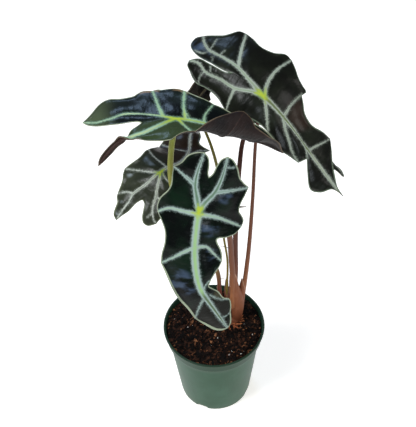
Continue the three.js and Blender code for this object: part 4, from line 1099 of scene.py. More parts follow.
def flat_half(sheet, leaf, side, midrib_marks):
    """Lays one half on the sheet and gives its margin lines and its veins as (line, kind, size)."""
    length, spacing, half = leaf["plan"]["length"], leaf["fineness"], leaf["plan"][side]
    basal = Line(half["basal"])

    def foot(measure):
        on_midrib = np.column_stack([-measure, np.zeros_like(measure)])
        return np.where(measure[:, None] <= 0, on_midrib, basal.at(measure / basal.length))

    feet = [measure_of(basal, vein[0]) for vein in half["veins"]]
    basal_marks = even_marks([0, basal.length, *[measure for measure in feet if measure > 0]], spacing)
    marks = np.concatenate([midrib_marks[:-1], basal_marks])
    veins, margins = [(basal, side, 1)], []
    ends = [-length, *feet, basal.length]
    lines = [foot(np.array(ends[:1])).tolist()]
    for vein, measure in zip(half["veins"], feet):
        lines.append([*foot(np.array([measure])).tolist(), *vein[1:]])
        thinner = THIN_TO_TIP * -measure / length if measure < 0 else THIN_TO_LOBE * measure / basal.length
        veins.append((Line(lines[-1]), "side", 1 - thinner))
    lines.append(half["basal"][-1:])
    out = np.linspace(0, 1, round(FIELD_DEPTH / spacing) + 1) ** CLOSER_AT_RIB
    for a, b, start, end, points in zip(lines, lines[1:], ends, ends[1:], half["margins"]):
        rim = Line([a[-1], *points, b[-1]])
        inside = (marks >= start - 1e-5) & (marks <= end + 1e-5)
        grid, s, t = field_grid(foot, rim.at, bare_side(a), bare_side(b), marks[inside], out)
        stripes = np.cos(2 * np.pi * max(2, round(rim.length / STRIPE_PITCH)) * s)
        stripes = stripes * np.sin(np.pi * np.clip(t, 0.02, 0.98)) ** 0.5
        sheet.add_field(grid, swell(s, t), stripes, side == "left")
        margins.append(rim)
    sinus = [leaf["plan"]["sinus"], 0]
    rim = Line([sinus, *half["inner"], half["basal"][-1]])
    seam, end = bare_side([[0, 0], sinus]), bare_side(half["basal"][-1:])
    grid, s, t = field_grid(foot, rim.at, seam, end, basal_marks, np.linspace(0, 1, COLUMNS_AT_SINUS))
    sheet.add_field(grid, 0.5 * swell(s, t), np.zeros(grid.shape[:2]), side == "right")
    return [*margins, rim], veins


def flat_blade(leaf):
    """The flat sheet, its margin lines, and its veins as (line, kind, size)."""
    plan, sheet, margins = leaf["plan"], Sheet(), []
    veins = [(Line([[0, 0], [plan["length"], 0]], 1), "midrib", 1)]
    starts = [vein[0] for side in ("left", "right") for vein in plan[side]["veins"]]
    midrib_marks = even_marks([-plan["length"], 0, *[-u for u, v in starts if v == 0]], leaf["fineness"])
    for side in ("left", "right"):
        its_margins, its_veins = flat_half(sheet, leaf, side, midrib_marks)
        margins += its_margins
        veins += its_veins
    return sheet, margins, veins + [(Line(points), "twig", 1) for points in leaf.get("twigs", [])]


flat, _, flat_veins = flat_blade(LEAVES["front"])
print("front leaf: grid points", flat.count, "veins", len(flat_veins))

# %% [markdown]
# Veins taper from the stalk outwards, and each leaf has ribs of its own width. They are sampled as close
# points, so that one search tells every point of the blade which vein is nearest, how wide that vein is
# there, and how high the keel under it stands. The rank tells a main rib from a side vein.

# %% What each point of the blade knows
STOUT, STOUT_KEEL = [2.8, 2.5, 2.1, 1.5, 0.7], [1.5, 1.3, 1.1, 0.8, 0.4]
HALF_WIDTHS = {"midrib": [3.0, 2.7, 2.3, 1.6, 0.6], "left": STOUT, "right": STOUT,
               "side": [1.8, 1.4, 1.1, 0.9, 0.7], "twig": [0.6, 0.5, 0.45, 0.4, 0.3]}
KEELS = {"midrib": STOUT_KEEL, "left": STOUT_KEEL, "right": STOUT_KEEL,
         "side": [0.8, 0.6, 0.5, 0.3, 0.1], "twig": [0.2, 0.2, 0.1, 0.1, 0.1]}
RANKS = {"midrib": 1.0, "left": 0.8, "right": 0.8, "side": 0.0, "twig": 0.0}
VEIN_STEP, MARGIN_STEP = 0.7, 0.5


def vein_samples(leaf, veins):
    """All veins as close points, with the half width, the keel's height and the rank at each."""
    own = {**HALF_WIDTHS, **leaf.get("widths", {})}
    points, facts = [], []
    for line, kind, size in veins:
        shares = line.shares(VEIN_STEP)
        points.append(line.at(shares))
        facts.append([spread(own[kind], shares) * leaf["vein"] * size, spread(KEELS[kind], shares),
                      np.full(len(shares), RANKS[kind])])
    return np.vstack(points), *np.hstack(facts)


def nearest(points, samples, allowance=0.0):
    """For each point the index of the nearest sample, less an allowance, and the plain distance to it."""
    picks, gaps = [], []
    for part in np.array_split(points, max(1, len(points) // 1500)):
        away = np.linalg.norm(part[:, None] - samples[None], axis=2)
        pick = (away - allowance).argmin(axis=1)
        picks.append(pick)
        gaps.append(away[np.arange(len(part)), pick])
    return np.concatenate(picks), np.concatenate(gaps)


def vertex_normals(points, faces):
    """Normals of a grid of quads and triangles, weighted by area."""
    corners = np.array([[f[0], f[1], f[2], f[-1]] for f in faces])
    a, b, c, d = points[corners.T]
    turn = np.where((corners[:, 2] == corners[:, 3])[:, None], np.cross(b - a, c - a), np.cross(c - a, d - b))
    normals = np.zeros_like(points)
    for corner in corners.T:
        np.add.at(normals, corner, turn)
    return unit(normals)


print("samples on the front leaf's veins:", len(vein_samples(LEAVES["front"], flat_veins)[0]))

# %% [markdown]
# Solidify could give the sheet its thickness, but the real skin is thinner at its edge, its ribs stand
# proud with a groove along them, and the underside has keels. So both skins are moved off the middle
# sheet by their own amounts, and a row of lip points rounds the edge between them.

# %% A blade with a face, an underside and a rounded edge
SHEET_HALF, EDGE_HALF, EDGE_BULGE, EDGE_TAPER, KEEL_TAPER = 0.4, 0.3, 0.3, 3, 4
RIB_RISE, RIB_GROOVE = 0.28, 0.16


def keep_on(piece, key, values):
    """Stores one number on each point of a piece, for its finish or a tree to read."""
    piece.data.attributes.new(key, "FLOAT", "POINT").data.foreach_set("value", np.array(values, np.float32))


def open_edges(faces):
    """The edges that only one face has, in the order of its corners."""
    edges = {}
    for face in faces:
        for p, q in zip(face, face[1:] + face[:1]):
            if edges.pop((q, p), None) is None:
                edges[p, q] = True
    return list(edges)


def blade(name, leaf, top_finish, under_finish):
    sheet, margins, veins = flat_blade(leaf)
    rows, faces = sheet.joined()
    plane, lift, stripes = rows[:, :2], rows[:, 2], rows[:, 3]
    samples, widths, keels, ranks = vein_samples(leaf, veins)
    pick, gap = nearest(plane, samples, widths)
    share = gap / widths[pick]
    _, edge = nearest(plane, np.vstack([line.at(line.shares(MARGIN_STEP)) for line in margins]))
    hung = hang(leaf, *plane.T)
    middle = hung + vertex_normals(hung, faces) * lift[:, None]
    normals = vertex_normals(middle, faces)
    inwards = eased(edge, 0, EDGE_TAPER)
    thin = EDGE_HALF + (SHEET_HALF - EDGE_HALF) * inwards
    rise = RIB_RISE * eased(share, 1.15, 0.7) - RIB_GROOVE * eased(share, 0.4, 0.0)
    keel = keels[pick] * np.clip(1 - (share / 0.8) ** 2, 0, 1) ** 0.8 * eased(edge, 0, KEEL_TAPER)
    top = middle + normals * (thin + rise * inwards)[:, None]
    under = middle - normals * (thin + keel)[:, None]

    edges = open_edges(faces)
    rim = sorted({p for side in edges for p in side})
    out = np.zeros_like(middle)
    for p, q in edges:
        away = np.cross(middle[q] - middle[p], normals[p])
        out[p] += away
        out[q] += away
    lip = middle[rim] + unit(out[rim]) * EDGE_BULGE
    n = len(middle)
    place = {p: 2 * n + k for k, p in enumerate(rim)}
    shell = faces + [[n + p for p in reversed(face)] for face in faces]
    shell += [[q, p, place[p], place[q]] for p, q in edges]
    shell += [[place[q], place[p], n + p, n + q] for p, q in edges]
    piece = mesh_object(name, np.vstack([top, under, lip]) * MM, shell, top_finish, under_finish)
    slots = np.repeat([0, 1, 0, 1], [len(faces), len(faces), len(edges), len(edges)])
    piece.data.polygons.foreach_set("material_index", slots)
    knows = {"vein": gap - widths[pick], "rib": share, "margin": edge, "stripe": stripes, "rank": ranks[pick],
             "heart": np.hypot(*plane.T), "flat_u": plane[:, 0], "flat_v": plane[:, 1]}
    for key, values in knows.items():
        keep_on(piece, key, [*values, *values, *values[rim]])
    return piece


print("a blade is", 2 * SHEET_HALF, "mm thick, and", 2 * EDGE_HALF, "mm near its edge")

# %% [markdown]
# ## Leaf finishes
# The face of a polly leaf is a leathery green so dark that it reads as black, with a soft gloss. Its ribs
# are pale: yellow where the stalk joins, then grey-green to mint, with a thin pale line round the margin.
# All of it is painted from the distances that the blade's points know, broken up by noise so that no edge
# is ruled. The skin's own marks, such as drying and browning, are patches at places of the flat plan, and
# so are painted highlights where the gloss mirrors the lamps, painted light on one half of the side leaf
# and painted shade on the far half of the low leaf.

# %% The flesh of a leaf
class Skin(Finish):
    """The face of a leaf while it is painted, with what the blade's points know and its noises at hand."""

    def __init__(self, name):
        super().__init__(name)
        self.vein, self.rib, self.margin = self.stored("vein"), self.stored("rib"), self.stored("margin")
        self.u, self.v = self.stored("flat_u"), self.stored("flat_v")
        self.fine, self.hairs, self.broad = self.noise(1500, 3, 0.6), self.noise(520, 2), self.noise(40, 3)
        self.feather = (self.fine - 0.5) * 1.5 + (self.hairs - 0.5) * 1.6
        across = {"X": self.u * 0.14, "Y": self.v * 0.05, "Z": self.broad * 2}
        self.folds = self.noise(1, 3, 0.5, self.add("ShaderNodeCombineXYZ", None, across))
        self.plan = self.add("ShaderNodeCombineXYZ", None, {"X": self.u, "Y": self.v})

    def patch(self, centre, reach):
        """1 at a place of the flat plan and 0 past a reach, with an edge that noise breaks."""
        values = {0: self.plan, 1: (*centre, 0)}
        away = self.add("ShaderNodeVectorMath", {"operation": "DISTANCE"}, values, "Value")
        return self.ease(away + (self.broad - 0.5) * reach, reach, reach * 0.4)

    def flesh(self, deep, green, pale, marks, painted_highlights):
        """Dark skin with painted highlights on its folds, the leaf's marks, and a greener, paler seam at
        veins.
        """
        flesh = self.blend(self.ease(self.broad, 0.4, 0.75), deep, green)
        # Painted highlights: patches of blue or white sheen where the glossy skin mirrors the lamps.
        for centre, reach, sheen in painted_highlights:
            share = self.patch(centre, reach) * self.ease(self.folds, 0.42, 0.66) * 0.75
            flesh = self.blend(share, flesh, srgb(*sheen))
        # Each leaf's marks, among them painted light on the side leaf's right half and painted shade on the
        # low leaf's far half.
        for tint, share in marks(self):
            flesh = self.blend(share * (0.65 + 0.5 * self.broad), flesh, srgb(*tint))
        flesh = self.blend(self.ease(self.margin, 4.0, 0.5) * 0.4, flesh, green)
        flesh = self.blend(self.ease(self.vein + self.feather, 2.2, 0.0) * 0.3, flesh, green)
        return self.blend(self.ease(self.vein + self.feather * 2.2, 1.7, 0.0) * 0.3, flesh, pale)


print("a leaf's skin reads what its points know")

# %% [markdown]
# A rib has a core and two paler sides. The core changes along the midrib: one colour behind the stalk,
# one beyond it, and one towards the tip. Round the stalk's joint the rib turns yellow. Side veins are
# nearly all sides.

# %% Ribs and the face of a leaf
def ribbon(skin, cores, reaches, pale, heart_reach):
    """The colour of a rib; cores are its middle colours behind, along and beyond two places of the midrib."""
    behind, along, beyond = (srgb(*core) for core in cores)
    rough = skin.hairs - 0.5
    core = skin.blend(skin.ease(skin.u, reaches[0] - 12, reaches[0]), behind, along)
    core = skin.blend(skin.ease(skin.u, reaches[1] - 4, reaches[1] + 6), core, beyond)
    core = skin.blend(skin.stored("rank"), skin.blend(0.4, pale, core), core)
    rib = skin.blend(skin.ease(skin.rib + rough * 0.5, 0.2, 0.72), core, pale)
    yellow = skin.blend(skin.ease(skin.rib, 1.0, 0.1), srgb(120, 150, 82), srgb(166, 182, 56))
    joint = skin.ease(skin.stored("heart") + rough * 8, heart_reach, heart_reach * 0.2)
    return skin.blend(joint, rib, yellow)


def leaf_face(name, deep, green, pale, edge, cores, reaches, heart_reach, gloss, shine, marks, painted_highlights=(),
              lit_edge_width=0.0):
    """A leaf's face; its last argument is how many mm wider the pale edge is in front on the right half:
    painted light.
    """
    skin = Skin(name)
    green, pale = srgb(*green), srgb(*pale)
    cover = skin.ease(skin.vein + skin.feather, 0.45, -0.5)
    colour = skin.blend(cover, skin.flesh(srgb(*deep), green, pale, marks, painted_highlights),
                        ribbon(skin, cores, reaches, pale, heart_reach))
    # Painted light: the pale edge is drawn wider where the light catches the margin, in front on the right
    # half.
    lit_widening = skin.ease(skin.u, 40, 60) * skin.ease(skin.v, 0, -6) * lit_edge_width
    line = skin.ease(skin.margin + (skin.fine - 0.5) * 0.6 - lit_widening, 0.95, 0.25)
    colour = skin.blend(line * skin.ease(skin.broad, 0.25, 0.55, 0.45, 1.0), colour, srgb(*edge))
    height = skin.noise(24, 2, 0.45) * 1.8 + skin.folds * 0.22 + cover * 0.05
    return skin.finish(Base_Color=colour, Roughness=gloss + 0.1 * skin.broad + 0.25 * cover,
                       Specular_IOR_Level=shine, Normal=skin.bump(height, 0.005, 0.7))


def side_marks_and_light(skin):
    """Painted light makes the side leaf's right half greener; one lobe's tip is grey-green and one edge dry.
    """
    dry = (skin.patch((-19, 40), 12) + skin.patch((3, 36), 7)) * skin.ease(skin.margin, 3.5, 1.5)
    return (((54, 68, 40), skin.ease(skin.v, 3, -3)), ((82, 94, 68), skin.ease(skin.u, -44, -66) * 0.9),
            ((150, 120, 88), dry))


def low_shade_marks(skin):
    """Painted shade: the far half of the low leaf, which the side leaf shades, is painted dark brown."""
    return (((44, 31, 22), skin.ease(skin.u, 4, 26)),)


def back_marks(skin):
    """A brown patch where the back leaf is creased."""
    return (((44, 33, 25), skin.patch((38, 15), 18)),)


def front_marks(skin):
    """The front leaf is brown-black near its tip, with an olive patch at its left margin."""
    return (((16, 16, 10), skin.ease(skin.u, 84, 96)), ((62, 60, 42), skin.patch((90, 11), 7)))


# Colours of painted highlights: the blue and the white sheen that the glossy leaves mirror.
BLUE_SHEEN, WHITE_SHEEN = (66, 80, 100), (150, 158, 160)
back_face = leaf_face(
    "dark_leaf_back", deep=(14, 15, 11), green=(27, 31, 22), pale=(156, 165, 152), edge=(98, 110, 92),
    cores=[(134, 150, 124), (98, 110, 74), (146, 154, 132)], reaches=(0, 66), heart_reach=10, gloss=0.26,
    shine=0.16, marks=back_marks, painted_highlights=[((-80, 14), 11, BLUE_SHEEN)])
side_face = leaf_face(
    "dark_leaf_side", deep=(5, 9, 10), green=(16, 26, 20), pale=(140, 174, 148), edge=(150, 158, 130),
    cores=[(176, 190, 142), (150, 176, 96), (140, 168, 104)], reaches=(-8, 40), heart_reach=16, gloss=0.22,
    shine=0.19, marks=side_marks_and_light)
# The low leaf's flesh is painted lighter and greyer than the other leaves': a painted reflection of the
# bright light that its gloss mirrors.
low_face = leaf_face(
    "dark_leaf_low", deep=(40, 44, 33), green=(60, 64, 48), pale=(196, 202, 190), edge=(110, 118, 92),
    cores=[(118, 128, 104), (140, 146, 116), (140, 136, 108)], reaches=(-6, 20), heart_reach=9, gloss=0.26,
    shine=0.2, marks=low_shade_marks,
    painted_highlights=[((-41, 16), 5, WHITE_SHEEN), ((-51, 17), 5, WHITE_SHEEN), ((-16, 25), 6, WHITE_SHEEN)])
front_face = leaf_face(
    "dark_leaf_front", deep=(6, 9, 8), green=(12, 30, 18), pale=(148, 166, 160), edge=(150, 160, 136),
    cores=[(84, 112, 86), (146, 180, 126), (88, 106, 78)], reaches=(2, 80), heart_reach=8, gloss=0.22,
    shine=0.12, marks=front_marks, lit_edge_width=1.1,
    painted_highlights=[((61, -15), 17, BLUE_SHEEN), ((15, 12), 11, BLUE_SHEEN), ((42, 16), 9, BLUE_SHEEN),
            ((-16, 19), 8, BLUE_SHEEN), ((70, -8), 8, BLUE_SHEEN)])
print("faces:", ", ".join(face.name for face in (back_face, side_face, low_face, front_face)))

# %% [markdown]
# The underside is maroon with pinkish brown ribs, and fine stripes run out from each rib. The small hidden
# leaf, whose back shows above the side leaf, has a more olive one. Each blade takes its face and its
# underside, and stands for its solid.

# %% The underside of a leaf, and the six blades
def leaf_underside(name, deep, light, rib_colour):
    skin = Finish(name)
    vein, margin, stripe = skin.stored("vein"), skin.stored("margin"), skin.stored("stripe")
    fine = skin.noise(1000, 4, 0.6)
    flesh = skin.blend(skin.ease(skin.noise(60, 3), 0.3, 0.7), srgb(*deep), srgb(*light))
    flesh = skin.blend(skin.ease(stripe, 0.5, 1.0) * 0.3, flesh, srgb(*light))
    colour = skin.blend(skin.ease(vein + (fine - 0.5) * 1.2, 0.1, -0.7) * 0.7, flesh, srgb(*rib_colour))
    colour = skin.blend(skin.ease(margin, 0.8, 0.2) * 0.6, colour, srgb(110, 94, 74))
    ridges, dimples, waves = skin.ease(stripe, 0.2, 1.0), skin.noise(350, 2), skin.noise(30, 2)
    height = fine * 0.4 + ridges * 0.8 + dimples * 0.6 + waves * 3
    return skin.finish(Base_Color=colour, Roughness=0.45 + 0.2 * fine, Specular_IOR_Level=0.2,
                       Normal=skin.bump(height, 0.0008, 0.7))


maroon = leaf_underside("maroon_underside", (8, 5, 5), (28, 15, 12), (62, 41, 33))
olive = leaf_underside("olive_underside", (16, 14, 10), (38, 33, 24), (84, 76, 56))
SKINS = {"back_right": (back_face, maroon), "side_left": (side_face, maroon),
         "low_left": (low_face, maroon), "front": (front_face, maroon),
         "hidden_small": (back_face, olive), "hidden_back": (back_face, maroon)}
for name, leaf in LEAVES.items():
    dress(blade(f"leaf_{name}", leaf, *SKINS[name]), "leaf", f"blade_{name}")

# %% [markdown]
# ## Stalks
# A leaf stalk is a fleshy rod, thicker at its foot, with fine lengthwise streaks; it swells a little
# where it meets the blade. The path is a row of joined points with a girth stored on each. A Geometry
# Nodes tree turns such a row into a round tube, so the same tree also makes the roots and fibres at the
# plant's foot.

# %% A tree that skins any path
def skinning_tree():
    """A round tube along a joined path; girth is its radius, and knobble is how far noise moves its skin."""
    tree = Growth("skinning", sides=20, knobble=0.0001)
    path = tree.add("GeometryNodeMeshToCurve", None, {"Mesh": tree.given("Geometry")})
    girth = tree.add("GeometryNodeInputNamedAttribute", {"data_type": "FLOAT"}, {"Name": "girth"})
    ring = tree.add("GeometryNodeCurvePrimitiveCircle", None,
                    {"Resolution": tree.given("sides"), "Radius": 1.0})
    tube = tree.add("GeometryNodeCurveToMesh", None,
                    {"Curve": path, "Profile Curve": ring, "Scale": girth, "Fill Caps": True})
    where = tree.add("GeometryNodeInputPosition")
    rough = tree.add("ShaderNodeTexNoise", None, {"Vector": where, "Scale": 160.0, "Detail": 2.0}, "Fac")
    push = tree.add("ShaderNodeVectorMath", {"operation": "SCALE"},
                    {0: tree.add("GeometryNodeInputNormal"), "Scale": (rough - 0.5) * tree.given("knobble")})
    tree.close(tree.add("GeometryNodeSetPosition", None, {"Geometry": tube, "Offset": push}))
    return tree


def skinned(name, paths, finish, sides):
    """Tubes along paths, each a row of points and their girths in millimetres; tone tells them apart."""
    points, edges, girths, shares, tones = [], [], [], [], []
    for number, (line, radii) in enumerate(paths):
        first = len(points)
        points += (np.asarray(line) * MM).tolist()
        edges += [(first + k, first + k + 1) for k in range(len(line) - 1)]
        girths += list(np.asarray(radii) * MM)
        shares += list(np.linspace(0, 1, len(line)))
        tones += [(number * 0.618) % 1] * len(line)
    mesh = bpy.data.meshes.new(name)
    mesh.from_pydata(points, edges, [])
    piece = linked(name, mesh)
    for key, values in (("girth", girths), ("share", shares), ("tone", tones)):
        keep_on(piece, key, values)
    return skinning.grow(piece, finish=finish, sides=sides)


skinning = skinning_tree()
print("the skinning tree has", len(skinning.nodes), "nodes")

# %% [markdown]
# The front, back and low stalks are brown and the hidden back one is darker. The side one goes from red at
# its foot to yellow-green at its head, and the small hidden one is olive. So the colour runs along the
# share of the length that the path stored.

# %% Finishes of the stalks
def stalk_finish(name, foot, body, top, foot_reach=0.3):
    skin = Finish(name)
    streaks, flecks = skin.streaks(700, 60), skin.noise(700, 3)
    place = skin.stored("share") + (flecks - 0.5) * 0.08
    colour = skin.ramp(place, (0.3 * foot_reach, foot), (foot_reach, body), (0.95, top))
    darker, lighter = (tuple(c * by for c in srgb(*tint)) for tint, by in ((body, 0.5), (top, 1.5)))
    colour = skin.blend(skin.ease(streaks, 0.45, 0.75) * 0.45, colour, darker)
    colour = skin.blend(skin.ease(flecks, 0.6, 0.8) * 0.18, colour, lighter)
    return skin.finish(Base_Color=colour, Roughness=0.42 + 0.15 * flecks, Specular_IOR_Level=0.25,
                       Normal=skin.bump(streaks * 0.7 + flecks * 0.3, 0.0003, 0.6))


brown_stalk = stalk_finish("brown_stalk", (146, 92, 58), (112, 66, 42), (92, 54, 40))
dark_stalk = stalk_finish("dark_stalk", (130, 76, 50), (90, 50, 34), (76, 44, 34))
olive_stalk = stalk_finish("olive_stalk", (150, 128, 58), (138, 126, 56), (120, 114, 50))
green_stalk = stalk_finish("green_stalk", (92, 36, 24), (140, 128, 60), (148, 156, 66), 0.45)
print("stalk finishes: brown, dark, olive and green")

# %% [markdown]
# Each stalk ends just under the place where its leaf's flat plan has its 0, 0. Its last point is found
# from the hanging blade itself, so the stalk always meets its leaf.

# %% The six stalks
STALKS = {"back_right": ("stalk_brown", brown_stalk), "side_left": ("stalk_olive", green_stalk),
          "low_left": ("stalk_brown", brown_stalk), "front": ("stalk_brown", brown_stalk),
          "hidden_small": ("stalk_olive", olive_stalk), "hidden_back": ("stalk_brown", dark_stalk)}
STALK_ROWS, STALK_SIDES = 70, 20
SEAT_DEPTH, HEAD_SWELL = 1.6, 0.22
for name, leaf in LEAVES.items():
    seat, ahead, behind, left, right = hang(leaf, [0, 3, -3, 0, 0], [0, 0, 0, 3, -3])
    face = unit(np.cross(ahead - behind, left - right))
    line = Line([*leaf["stalk"], seat - face * SEAT_DEPTH])
    shares = np.linspace(0, 1, STALK_ROWS)
    radii = spread(leaf["radii"], shares) * (1 + HEAD_SWELL * eased(shares, 0.955, 1))
    slot, finish = STALKS[name]
    stalk = skinned(f"petiole_{name}", [(line.at(shares), radii)], finish, STALK_SIDES)
    dress(stalk, slot, f"stalk_{name}", sharp=60)

# %% [markdown]
# Two dry threads hang between the stalks, and a dry spur stands off the front leaf's left lobe. They are
# paths of three points, and the spur starts where the hanging blade has that place of its plan.

# %% Dry threads and the dry spur
THREAD_ROWS = np.linspace(0, 1, 12)
dry = grainy("dry_thread", (600,), [(0.35, (38, 30, 26)), (0.7, (120, 108, 92))],
             roughness=0.75, bump=(0.0003, 0.6))
spur = hang(LEAVES["front"], -7.5, 34)[0]
threads = [([spur, spur + (3, -0.5, 0.6), spur + (7.5, -0.5, 0.8)], [0.9, 0.7, 0.2]),
           ([[8, 2.5, 229.3], [12.5, 1.6, 229.6], [17.2, 1.2, 227.5]], [0.15, 0.3, 0.3]),
           ([[6.4, 3.4, 178.6], [9.5, 1.5, 180.6], [13.9, 2.5, 181.1]], [0.25, 0.3, 0.12])]
paths = [(Line(points).at(THREAD_ROWS), spread(girths, THREAD_ROWS)) for points, girths in threads]
dress(skinned("dry_threads", paths, dry, 6), "leaf")

# %% [markdown]
# ## The crown
# Each stalk's foot is wrapped in a sheath, which opens along one side and ends in a slanting tip; the
# sheaths overlap in one short neck that goes into the mix. A sheath is a bent tube whose upper rim dips
# on the open side, so it is written as a grid of angle and height, with an inner wall that closes down on
# the stalk.

# %% A sheath
SHEATH_FOOT, SHEATH_LEAN, SHEATH_BELLY = 104, 0.25, 0.35
SHEATH_ROWS, SHEATH_SIDES, LIP_ROWS = 40, 48, 5
RIM_DIP, INNER_END, CLOSING = 0.4, 0.35, 0.3


def sheath(path, girths, opens, flatness=1.0):
    """Points and faces of one sheath round a path, in millimetres; it opens towards a heading in the plan."""
    line = Line(path)
    opening = math.atan2(opens[1], opens[0])
    angles = np.linspace(0, 2 * np.pi, SHEATH_SIDES, endpoint=False)
    heading = np.column_stack([np.cos(angles), flatness * np.sin(angles), np.zeros(SHEATH_SIDES)])
    dip = (0.5 + 0.5 * np.cos(angles - opening)) ** 1.6
    rows = [(a, 0) for a in np.linspace(0, 1, SHEATH_ROWS)]
    rows += [(a, 1) for a in np.linspace(1, INNER_END, SHEATH_ROWS // 2)]
    points, faces = [], []
    for a, inner in rows:
        reach = a * (1 - RIM_DIP * dip)
        girth = spread(girths, reach) + 0.2 * np.sin(angles * 3 + opening) * (1 - a)
        girth = girth - inner * (0.3 + 0.9 * (1 - a))
        points.append(line.at(reach) + heading * girth[:, None])
    points = np.vstack([*points, line.at([0.0]), line.at([CLOSING])])
    last = (len(rows) - 1) * SHEATH_SIDES
    beside = [(k, (k + 1) % SHEATH_SIDES) for k in range(SHEATH_SIDES)]
    for low in range(0, last, SHEATH_SIDES):
        faces += [[low + a, low + b, low + b + SHEATH_SIDES, low + a + SHEATH_SIDES] for a, b in beside]
    for a, b in beside:
        faces += [[b, a, len(points) - 2], [last + a, last + b, len(points) - 1]]
    return points, faces


def small_sheath(leaf):
    """The sheath round one of the thin stalks, from the neck up to the stalk's foot and a little beyond."""
    foot, after = (np.array(place, float) for place in leaf["stalk"][:2])
    radius = leaf["radii"][0]
    low = np.array([*(np.array(NECK) * (1 - SHEATH_LEAN) + foot[:2] * SHEATH_LEAN), SHEATH_FOOT])
    path = [low, foot + (low - foot) * SHEATH_BELLY, foot, foot + (after - foot) * 0.45]
    return sheath(path, [4, radius + 1.6, radius + 1.1, radius + 0.55], leaf["opens"])


thin = [small_sheath(leaf) for leaf in LEAVES.values() if "opens" in leaf]
print("small sheaths:", len(thin), "with", len(thin[0][0]), "points each")

# %% [markdown]
# The three thick stalks stand in two broad sheaths that have grown together: a tall flat fan and a wing
# beside it. Old sheath skin is a dull pinkish brown with lengthwise streaks, and its rim has dried to a
# pale line. The rim is marked by a number stored on the points near it.

# %% Sheaths, neck and their skin
FLATNESS = 0.78
FAN = [[22.5, 7.5, 102], [24, 7.8, 112], [24.6, 8, 122], [24.6, 8.3, 134], [22.7, 8, 150], [21, 7.5, 166],
       [20.4, 6.8, 186]]
WING = [[24.5, 8.5, 112], [26.5, 9.3, 126], [28.4, 10.5, 140], [30.3, 12, 154], [32, 13.5, 166]]
NECK_PROFILE = [[0, 84], [4.5, 84], [6.2, 88], [6.9, 95], [7.1, 101], [6.7, 105], [6.0, 107.5], [4.6, 109.5],
                [2.4, 110.6], [0, 111]]
SHEATH_RISE = (0.102, 0.165)

old_skin = Finish("pink_sheath")
streaks, patches = old_skin.streaks(900, 70), old_skin.noise(120, 4)
colour = old_skin.ramp(old_skin.ease(old_skin.height(), *SHEATH_RISE), (0.0, (98, 52, 30)),
                       (0.15, (128, 74, 48)), (0.6, (136, 82, 55)), (1.0, (130, 78, 50)))
colour = old_skin.blend(old_skin.ease(streaks, 0.4, 0.75) * 0.4, colour, srgb(104, 60, 42))
colour = old_skin.blend(old_skin.ease(patches, 0.5, 0.75) * 0.35, colour, srgb(156, 106, 80))
colour = old_skin.blend(old_skin.stored("lip") * 0.8, colour, srgb(196, 156, 130))
old_skin.finish(Base_Color=colour, Roughness=0.5 + 0.15 * patches, Specular_IOR_Level=0.2,
                Normal=old_skin.bump(streaks * 0.7 + patches * 0.3, 0.0005, 0.6))

sheaths = [*thin, sheath(FAN, [5.8, 6, 6.7, 7.2, 6.8, 5.8, 4.6, 3.9, 3.4], (0.3, 1), FLATNESS),
           sheath(WING, [5, 5, 4.6, 3.6, 2.6], (1, 0.3), FLATNESS)]
row_numbers = np.repeat(np.arange(SHEATH_ROWS + SHEATH_ROWS // 2), SHEATH_SIDES)
lip = [*eased(row_numbers, SHEATH_ROWS - LIP_ROWS, SHEATH_ROWS), 0, 0]
neck, neck_faces = turned(NECK_PROFILE, SHEATH_SIDES)
neck = np.array(neck) / MM
swollen = 1 + 0.07 * np.sin(3 * np.arctan2(neck[:, 1], neck[:, 0]) + neck[:, 2] * 0.4)
neck[:, :2] = neck[:, :2] * swollen[:, None] + np.array(NECK)
faces, base = [], 0
for points, theirs in [*sheaths, (neck, neck_faces)]:
    faces += [[base + p for p in face] for face in theirs]
    base += len(points)
points = np.vstack([points for points, _ in sheaths] + [neck])
crown = mesh_object("sheathed_crown", points * MM, faces, old_skin.material)
keep_on(crown, "lip", [*lip * len(sheaths), *np.zeros(len(neck))])
dress(crown, "sheath", "crown", sharp=60)

# %% [markdown]
# Rusty old scales and young roots crowd the place where the neck enters the mix, and dry fibres lie
# across the top. They are short bent paths with a fixed seed, skinned by the same tree as the stalks.

# %% Roots and fibres
chance = np.random.RandomState(5)
ROOTS, FIBRES, PATH_STEPS = 90, 170, 7
ROOT_START, FIBRE_START = 103, 102
PATH_CLEAR, PATH_LIFT = 1.5, 0.4


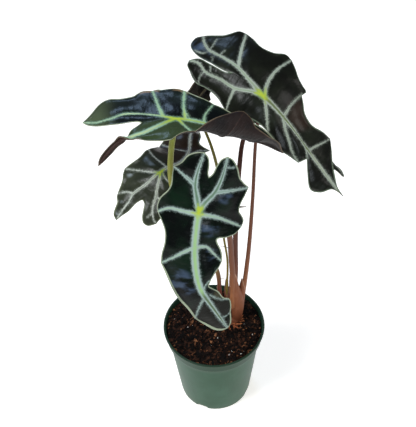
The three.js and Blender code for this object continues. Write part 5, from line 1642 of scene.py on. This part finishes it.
def bent_path(start, heading, length, rise, bend):
    """A path over the mix that sets out on a heading in degrees and wanders."""
    points, where = [], np.array(start, float)
    for k in range(PATH_STEPS):
        points.append(where.copy())
        heading += chance.normal(0, bend)
        step = length / (PATH_STEPS - 1)
        where = where + step * np.array([math.cos(math.radians(heading)), math.sin(math.radians(heading)), 0])
        where[:2] *= min(1.0, (SOIL_RADIUS - PATH_CLEAR) / max(1e-6, math.hypot(where[0], where[1])))
        where[2] = (soil_height(where[0], where[1]) + PATH_LIFT
                    + rise * math.sin(math.pi * (k + 1) / PATH_STEPS))
    return points


def wanderer(start, heading, lengths, highest, bend, girths):
    """A bent path of random length and rise, with girths that are a little different each time."""
    path = bent_path(start, heading, chance.uniform(*lengths), chance.uniform(0, highest), bend)
    return path, np.array(girths) * chance.uniform(0.6, 1.3)


rust = grainy("rusty_root", (900, 4), [(0.2, (88, 42, 20)), (0.5, (150, 78, 40)), (0.8, (190, 116, 66))],
              roughness=0.8, bump=(0.0003, 0.8), tone=(0.6, 0.5))
roots, fibres = [], []
for k in range(ROOTS):
    around, far = chance.uniform(0, 360), chance.uniform(5.5, 8.5)
    turn = math.radians(around)
    start = [NECK[0] + far * math.cos(turn), NECK[1] + far * math.sin(turn), ROOT_START]
    roots.append(wanderer(start, around + chance.normal(0, 50), (3, 9), 1.4, 26,
                          [0.35, 0.5, 0.5, 0.45, 0.4, 0.3, 0.15]))
for k in range(FIBRES):
    around, far = chance.uniform(0, 2 * math.pi), SOIL_RADIUS * 0.97 * chance.uniform(0.05, 1) ** 0.5
    start = [far * math.cos(around), far * math.sin(around), FIBRE_START]
    fibres.append(wanderer(start, chance.uniform(0, 360), (4, 14), 1.8, 22,
                           [0.08, 0.2, 0.24, 0.22, 0.2, 0.16, 0.06]))
dress(skinned("young_roots", roots, rust, 5), "sheath")
dress(skinned("dry_fibres", fibres, crumb, 4), "potting_mix")

# %% [markdown]
# ## Measuring the result
# The dressed plant must stay the size of the engineering model, so both boxes are written down for
# comparison.

# %% Boxes
visual_box = [list(corner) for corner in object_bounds()]
for label, (low, high) in (("frame", cad_box), ("dressed", visual_box)):
    print(label, [round(c * 1000, 1) for c in low], [round(c * 1000, 1) for c in high])
